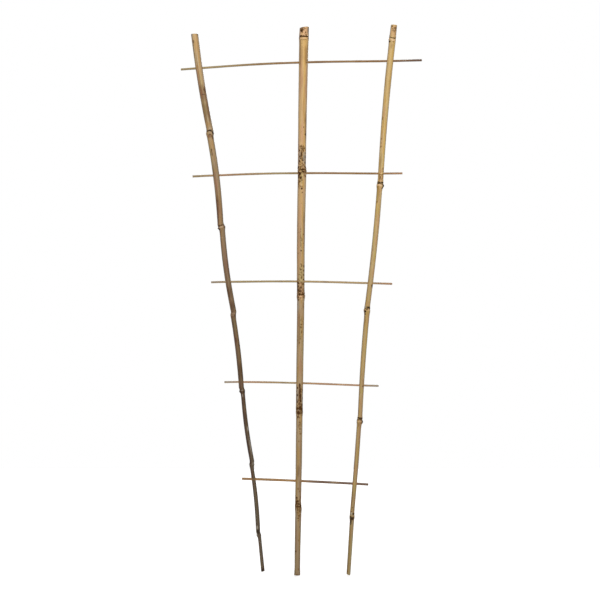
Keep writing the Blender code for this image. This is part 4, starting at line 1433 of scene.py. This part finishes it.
class CaneLook:
    """Settings that the three canes share."""

    groove_colour: tone_property("Groove", "Node grooves, scars and the darkest spots", 64, 36, 0)
    # The weathered grey also greys the sides of a cane as seen from the front, as part of their painted
    # shade
    grey_colour: tone_property("Weathered", "Weathered patches", 150, 142, 128)
    raw_colour: tone_property("Raw wood", "Bruised skin round a hole's mouth", 190, 138, 72)
    sawn_colour: tone_property("Sawn wood", "Sawn ends and the walls of holes", 196, 166, 124)
    tinting: share_property("Tinting", "How strongly the broad tints show", 0.85)
    # Dusky marks: darker stretches, and painted shade where they lie along the edges
    shading: share_property("Shading", "How strongly the broad dusky stretches show", 0.7)
    # How strongly shade is painted on the left and right sides, as seen from the front
    flank_shade: share_property("Flanks", "How strongly shade is painted on the sides", 0.6)
    relief: share_property("Relief", "Strength of the fibres' relief", 0.35)
    wax: share_property("Wax", "Waxy sheen over the skin", 0.05)
    sides: count_property("Sides", "Faces round the culm", 44)


class TRELLIS_PG_centre(CaneLook, bpy.types.PropertyGroup):
    """Settings of the centre cane."""

    foot_colour: tone_property("Foot", "Skin at the foot", 124, 106, 80)
    lower_colour: tone_property("Lower", "Skin over the foot", 151, 130, 99)
    middle_colour: tone_property("Middle", "Skin halfway up", 161, 134, 97)
    upper_colour: tone_property("Upper", "Skin under the top", 194, 161, 118)
    top_colour: tone_property("Top", "Skin at the top", 208, 172, 113)
    golden_colour: tone_property("Golden", "Golden stripes", 212, 170, 102)
    pink_colour: tone_property("Pinkish", "Pinkish stripes", 204, 160, 118)
    olive_colour: tone_property("Olive", "Greenish stripes", 150, 132, 90)
    shade_colour: tone_property("Shade", "Laid over darker stripes and flanks", 196, 182, 166)
    # Pale ridges and pale marks: paler skin with a painted highlight
    ridge_and_highlight_colour: tone_property("Ridge", "Pale ridges and patches", 222, 178, 136)
    stain_colour: tone_property("Stain", "Brown stains", 104, 72, 26)
    streaking: share_property("Streaks", "How strongly the lengthwise bands show", 0.35)
    mottling: share_property("Mottling", "How strongly the stains show", 0.86)
    roughness: share_property("Roughness", "Roughness of the skin", 0.42)


class TRELLIS_PG_left(CaneLook, bpy.types.PropertyGroup):
    """Settings of the left cane."""

    groove_colour: tone_property("Groove", "Node grooves, scars and the darkest spots", 34, 22, 8)
    foot_colour: tone_property("Foot", "Skin at the foot", 83, 77, 65)
    lower_colour: tone_property("Lower", "Skin over the foot", 80, 68, 51)
    middle_colour: tone_property("Middle", "Skin halfway up", 115, 93, 68)
    upper_colour: tone_property("Upper", "Skin under the top", 155, 132, 100)
    top_colour: tone_property("Top", "Skin at the top", 192, 168, 128)
    golden_colour: tone_property("Golden", "Golden stripes", 176, 138, 86)
    pink_colour: tone_property("Reddish", "Reddish stripes", 142, 106, 80)
    olive_colour: tone_property("Olive", "Greenish stripes", 100, 88, 58)
    shade_colour: tone_property("Shade", "Laid over darker stripes and flanks", 188, 172, 156)
    # Pale ridges and pale marks: paler skin with a painted highlight
    ridge_and_highlight_colour: tone_property("Ridge", "Pale ridges and patches", 176, 148, 120)
    raw_colour: tone_property("Raw wood", "Bruised skin round a hole's mouth", 150, 116, 80)
    stain_colour: tone_property("Stain", "Brown stains", 74, 47, 30)
    tinting: share_property("Tinting", "How strongly the broad tints show", 0.7)
    # How strongly shade is painted on the left and right sides, as seen from the front
    flank_shade: share_property("Flanks", "How strongly shade is painted on the sides", 0.75)
    streaking: share_property("Streaks", "How strongly the lengthwise bands show", 0.55)
    mottling: share_property("Mottling", "How strongly the stains show", 0.7)
    roughness: share_property("Roughness", "Roughness of the skin", 0.46)


class TRELLIS_PG_right(CaneLook, bpy.types.PropertyGroup):
    """Settings of the right cane."""

    groove_colour: tone_property("Groove", "Node grooves, scars and the darkest spots", 46, 28, 2)
    foot_colour: tone_property("Foot", "Skin at the foot", 130, 118, 86)
    lower_colour: tone_property("Lower", "Skin over the foot", 159, 137, 96)
    middle_colour: tone_property("Middle", "Skin halfway up", 168, 144, 101)
    upper_colour: tone_property("Upper", "Skin under the top", 195, 170, 118)
    top_colour: tone_property("Top", "Skin at the top", 203, 171, 115)
    golden_colour: tone_property("Golden", "Golden stripes", 210, 172, 98)
    pink_colour: tone_property("Pinkish", "Pinkish stripes", 196, 156, 108)
    olive_colour: tone_property("Olive", "Greenish stripes", 160, 142, 84)
    shade_colour: tone_property("Shade", "Laid over darker stripes and flanks", 200, 186, 168)
    # Pale ridges and pale marks: paler skin with a painted highlight
    ridge_and_highlight_colour: tone_property("Ridge", "Pale ridges and patches", 226, 188, 146)
    stain_colour: tone_property("Stain", "Brown stains", 104, 68, 26)
    streaking: share_property("Streaks", "How strongly the lengthwise bands show", 0.3)
    mottling: share_property("Mottling", "How strongly the stains show", 0.7)
    roughness: share_property("Roughness", "Roughness of the skin", 0.42)


class TRELLIS_PG_rungs(bpy.types.PropertyGroup):
    """Settings of the rungs."""

    thickness: length_property("Thickness", "Thickness of a rung", 3.5 * MM)
    clearance: length_property("Clearance", "Gap round a rung in its hole", 0.3 * MM)
    olive_colour: tone_property("Olive", "Greenish stretches", 147, 127, 85)
    brown_colour: tone_property("Brown", "Brown stretches", 134, 98, 52)
    pale_colour: tone_property("Pale", "Pale stretches and patches", 163, 137, 93)
    rose_colour: tone_property("Rose", "Rose brown stretches", 158, 119, 82)
    grey_colour: tone_property("Grey", "Grey brown stretches", 139, 122, 98)
    dark_colour: tone_property("Dark", "Dark stretches, streaks and specks", 90, 64, 44)
    sawn_colour: tone_property("Sawn ends", "Sawn end faces", 176, 156, 126)
    patchiness: share_property("Patches", "How strongly the patches show", 0.4)
    streaking: share_property("Streaks", "How strongly the streaks show", 0.35)
    relief: share_property("Relief", "Strength of the fibres' relief", 0.4)
    roughness: share_property("Roughness", "Roughness of the sticks", 0.55)
    sides: count_property("Sides", "Faces round a rung", 18)


class TRELLIS_PG_stage(bpy.types.PropertyGroup):
    """Settings of the floor, the light and the camera."""

    floor_size: length_property("Floor size", "Length of the floor's sides", 3.0)
    floor_colour: colour_property("Floor", "Colour of the floor", (0.9, 0.9, 0.9))
    floor_lift: share_property("Floor lift", "Light on the floor that is seen but lights nothing", 0.5)
    front_light: strength_property("Front light", "Strength of the soft light before the trellis", 2.7)
    back_light: strength_property("Back light", "Strength of the soft light behind the trellis", 1.8)
    fill_strength: strength_property("Fill light", "Strength of the light from all round", 0.15)
    camera_distance: length_property("Camera distance", "Distance of the camera from the trellis", 2.4)
    camera_height: length_property("Camera height", "Height of the camera", 0.4521)
    camera_side: length_property("Camera side", "How far right of the foot the camera stands", 0.0046)
    view_width: length_property("View width", "Width that the picture takes in at the trellis", 0.98628)


def all_culms():
    """The shapes of the three canes."""
    return {"centre": Culm(CENTRE_FORM, 1), "left": Culm(LEFT_FORM, 2), "right": Culm(RIGHT_FORM, 3)}


def drills_for(which, rungs):
    """Middle, direction and radius of each hole through a cane."""
    culms = all_culms()
    index = 1 + ("left", "centre", "right").index(which)  # after the rung's left end
    drills = []
    for stick in STICKS:
        route = stick_route(stick, culms)
        middle, along = smooth_curve(route, route[index : index + 1, 0], stick.left_bow)
        drills.append((middle[0], along[0], rungs.thickness / 2 + rungs.clearance))
    return drills


def make_cane(context, which, node, slot, look):
    """Makes one cane with the holes for all the rungs."""
    drills = drills_for(which, context.scene.trellis_rungs)
    dress_cane(which + "_bamboo", node, slot, all_culms()[which], look, drills)


def make_rung(seed, stick, culms, look, sawn):
    """Makes one rung, in place of its CAD node."""
    name = stick.node.replace("rung", "bamboo_rung")
    wood = rung_skin(name, look, [getattr(look, tint + "_colour") for tint in stick.tints])
    route = stick_route(stick, culms)
    rng = np.random.default_rng(STICK_SEED + seed)
    thickness = look.thickness * stick.girth
    rings, materials, first, last, angles = stick_rings(route, stick.left_bow, thickness, look.sides, rng)
    mesh = lofted(name, rings, materials, first, last)
    piece = new_piece(name, mesh, [wood, sawn])
    places = vertex_places(mesh)
    turns = np.concatenate([np.tile(angles, len(rings)), [0.0, 0.0]])
    radius = look.thickness / 2
    pattern = [radius * np.cos(turns) + seed * RUNG_STEP, radius * np.sin(turns), places[:, 0]]
    set_attribute(mesh, "culm_place", np.stack(pattern, 1))
    set_attribute(mesh, "wood_place", places)
    start, end = route[0][0], route[-1][0]
    set_attribute(mesh, "up_the_cane", (places[:, 0] - start) / (end - start))
    lay_out_stick(mesh, len(rings), look.sides)
    smoothed(mesh)
    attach(piece, BODY)
    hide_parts(stick.node)


class TRELLIS_OT_centre_cane(bpy.types.Operator):
    """Make the thick centre cane"""

    bl_idname = "trellis.centre_cane"
    bl_label = "Centre cane"

    def execute(self, context):
        make_cane(context, "centre", "centre_cane", "centre_bamboo", context.scene.trellis_centre)
        return {"FINISHED"}


class TRELLIS_OT_left_cane(bpy.types.Operator):
    """Make the kinked brown left cane"""

    bl_idname = "trellis.left_cane"
    bl_label = "Left cane"

    def execute(self, context):
        make_cane(context, "left", "left_cane", "left_bamboo", context.scene.trellis_left)
        return {"FINISHED"}


class TRELLIS_OT_right_cane(bpy.types.Operator):
    """Make the yellow right cane"""

    bl_idname = "trellis.right_cane"
    bl_label = "Right cane"

    def execute(self, context):
        make_cane(context, "right", "right_cane", "right_bamboo", context.scene.trellis_right)
        return {"FINISHED"}


class TRELLIS_OT_rungs(bpy.types.Operator):
    """Make the five rungs that go through the canes"""

    bl_idname = "trellis.rungs"
    bl_label = "Rungs"

    def execute(self, context):
        look = context.scene.trellis_rungs
        culms = all_culms()
        sawn = cut_bamboo("rung_sawn", look.sawn_colour, look.brown_colour, look.dark_colour)
        for seed, stick in enumerate(STICKS):
            make_rung(seed, stick, culms, look, sawn)
        return {"FINISHED"}


def floor_finish(look):
    """A pale floor with faint grain, a little lifted so that it stays white for the camera. The lift shows
    to the camera, in shiny things and through glass, and lights nothing."""
    shade = Shade(bpy.data.materials.new("pale_floor"))
    place = shade.node("ShaderNodeTexCoord", output="Object")
    grain = shade.noise(place, FLOOR_GRAIN, 3.0)
    colour = shade.mix(look.floor_colour, FLOOR_PALER, grain)
    sockets = {"Base Color": colour, "Roughness": FLOOR_ROUGHNESS}
    plain = shade.node("ShaderNodeBsdfPrincipled", None, sockets, "BSDF")
    lift = shade.seen_plainly() * look.floor_lift
    glow = shade.node("ShaderNodeEmission", None, {"Strength": lift}, "Emission")
    both = shade.node("ShaderNodeAddShader", None, {0: plain, 1: glow})
    shade.node("ShaderNodeOutputMaterial", None, {"Surface": both})
    return shade.owner


def studio_light(look):
    """Soft light from all round, and a white background that the camera, shiny things and glass see."""
    shade = Shade(bpy.data.worlds.new("studio"))
    white = (1.0, 1.0, 1.0, 1.0)
    fill = shade.node("ShaderNodeBackground", None, {"Color": white, "Strength": look.fill_strength})
    plain = shade.node("ShaderNodeBackground", None, {"Color": white})
    both = shade.node("ShaderNodeMixShader", None, {0: shade.seen_plainly(), 1: fill, 2: plain})
    shade.node("ShaderNodeOutputWorld", None, {"Surface": both})
    return shade.owner


def make_floor(look):
    """A square floor just under the feet."""
    half = look.floor_size / 2
    corners = [(-half, -half, 0.0), (half, -half, 0.0), (half, half, 0.0), (-half, half, 0.0)]
    mesh = bpy.data.meshes.new("floor")
    mesh.from_pydata(corners, [], [(0, 1, 2, 3)])
    floor = new_piece("floor", mesh, [floor_finish(look)])
    floor.location.z = -FLOOR_DROP


def make_light(name, strength, lit_from):
    """A sun with soft shadows, which shines from one side."""
    lamp = bpy.data.lights.new(name, "SUN")
    lamp.energy = strength
    lamp.angle = LIGHT_SPREAD
    light = bpy.data.objects.new(name, lamp)
    light.rotation_euler = Vector(lit_from).to_track_quat("Z", "Y").to_euler()
    bpy.context.scene.collection.objects.link(light)


class TRELLIS_OT_stage(bpy.types.Operator):
    """Set up the floor, the light and the camera"""

    bl_idname = "trellis.stage"
    bl_label = "Stage"

    def execute(self, context):
        scene = context.scene
        look = scene.trellis_stage
        make_floor(look)
        make_light("front_light", look.front_light, FRONT_LIGHT_SIDE)
        make_light("back_light", look.back_light, BACK_LIGHT_SIDE)
        scene.world = studio_light(look)
        camera = bpy.data.objects.new("camera", bpy.data.cameras.new("camera"))
        camera.data.lens = camera.data.sensor_width * look.camera_distance / look.view_width
        camera.location = (look.camera_side, -look.camera_distance, look.camera_height)
        camera.rotation_euler = (math.radians(90), 0.0, 0.0)
        scene.collection.objects.link(camera)
        scene.camera = camera
        scene.view_settings.view_transform = "Standard"
        return {"FINISHED"}


class TRELLIS_PT_panel(bpy.types.Panel):
    """Buttons for the trellis's pieces, with the settings of each"""

    bl_label = "Bamboo fan trellis"
    bl_idname = "TRELLIS_PT_panel"
    bl_space_type = "VIEW_3D"
    bl_region_type = "UI"
    bl_category = "Trellis"

    def draw(self, context):
        for operator, group in STEPS:
            box = self.layout.box()
            box.operator(operator)
            settings = getattr(context.scene, group)
            for name in settings.bl_rna.properties.keys():
                if name not in ("rna_type", "name"):
                    box.prop(settings, name)


GROUPS = {
    "trellis_stage": TRELLIS_PG_stage,
    "trellis_centre": TRELLIS_PG_centre,
    "trellis_left": TRELLIS_PG_left,
    "trellis_right": TRELLIS_PG_right,
    "trellis_rungs": TRELLIS_PG_rungs,
}
STEPS = (
    ("trellis.stage", "trellis_stage"),
    ("trellis.centre_cane", "trellis_centre"),
    ("trellis.left_cane", "trellis_left"),
    ("trellis.right_cane", "trellis_right"),
    ("trellis.rungs", "trellis_rungs"),
)
CLASSES = (
    *GROUPS.values(),
    TRELLIS_OT_stage,
    TRELLIS_OT_centre_cane,
    TRELLIS_OT_left_cane,
    TRELLIS_OT_right_cane,
    TRELLIS_OT_rungs,
    TRELLIS_PT_panel,
)


def register():
    """Adds the classes to Blender, and their settings to the scene."""
    for each in CLASSES:
        bpy.utils.register_class(each)
    for name, group in GROUPS.items():
        setattr(bpy.types.Scene, name, bpy.props.PointerProperty(type=group))


def unregister():
    """Takes the settings and the classes out of Blender again."""
    for name in GROUPS:
        delattr(bpy.types.Scene, name)
    for each in reversed(CLASSES):
        bpy.utils.unregister_class(each)


def main():
    """Makes every piece in order."""
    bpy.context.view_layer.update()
    register()
    bpy.ops.trellis.stage()
    bpy.ops.trellis.centre_cane()
    bpy.ops.trellis.left_cane()
    bpy.ops.trellis.right_cane()
    bpy.ops.trellis.rungs()


if __name__ == "__main__":
    main()
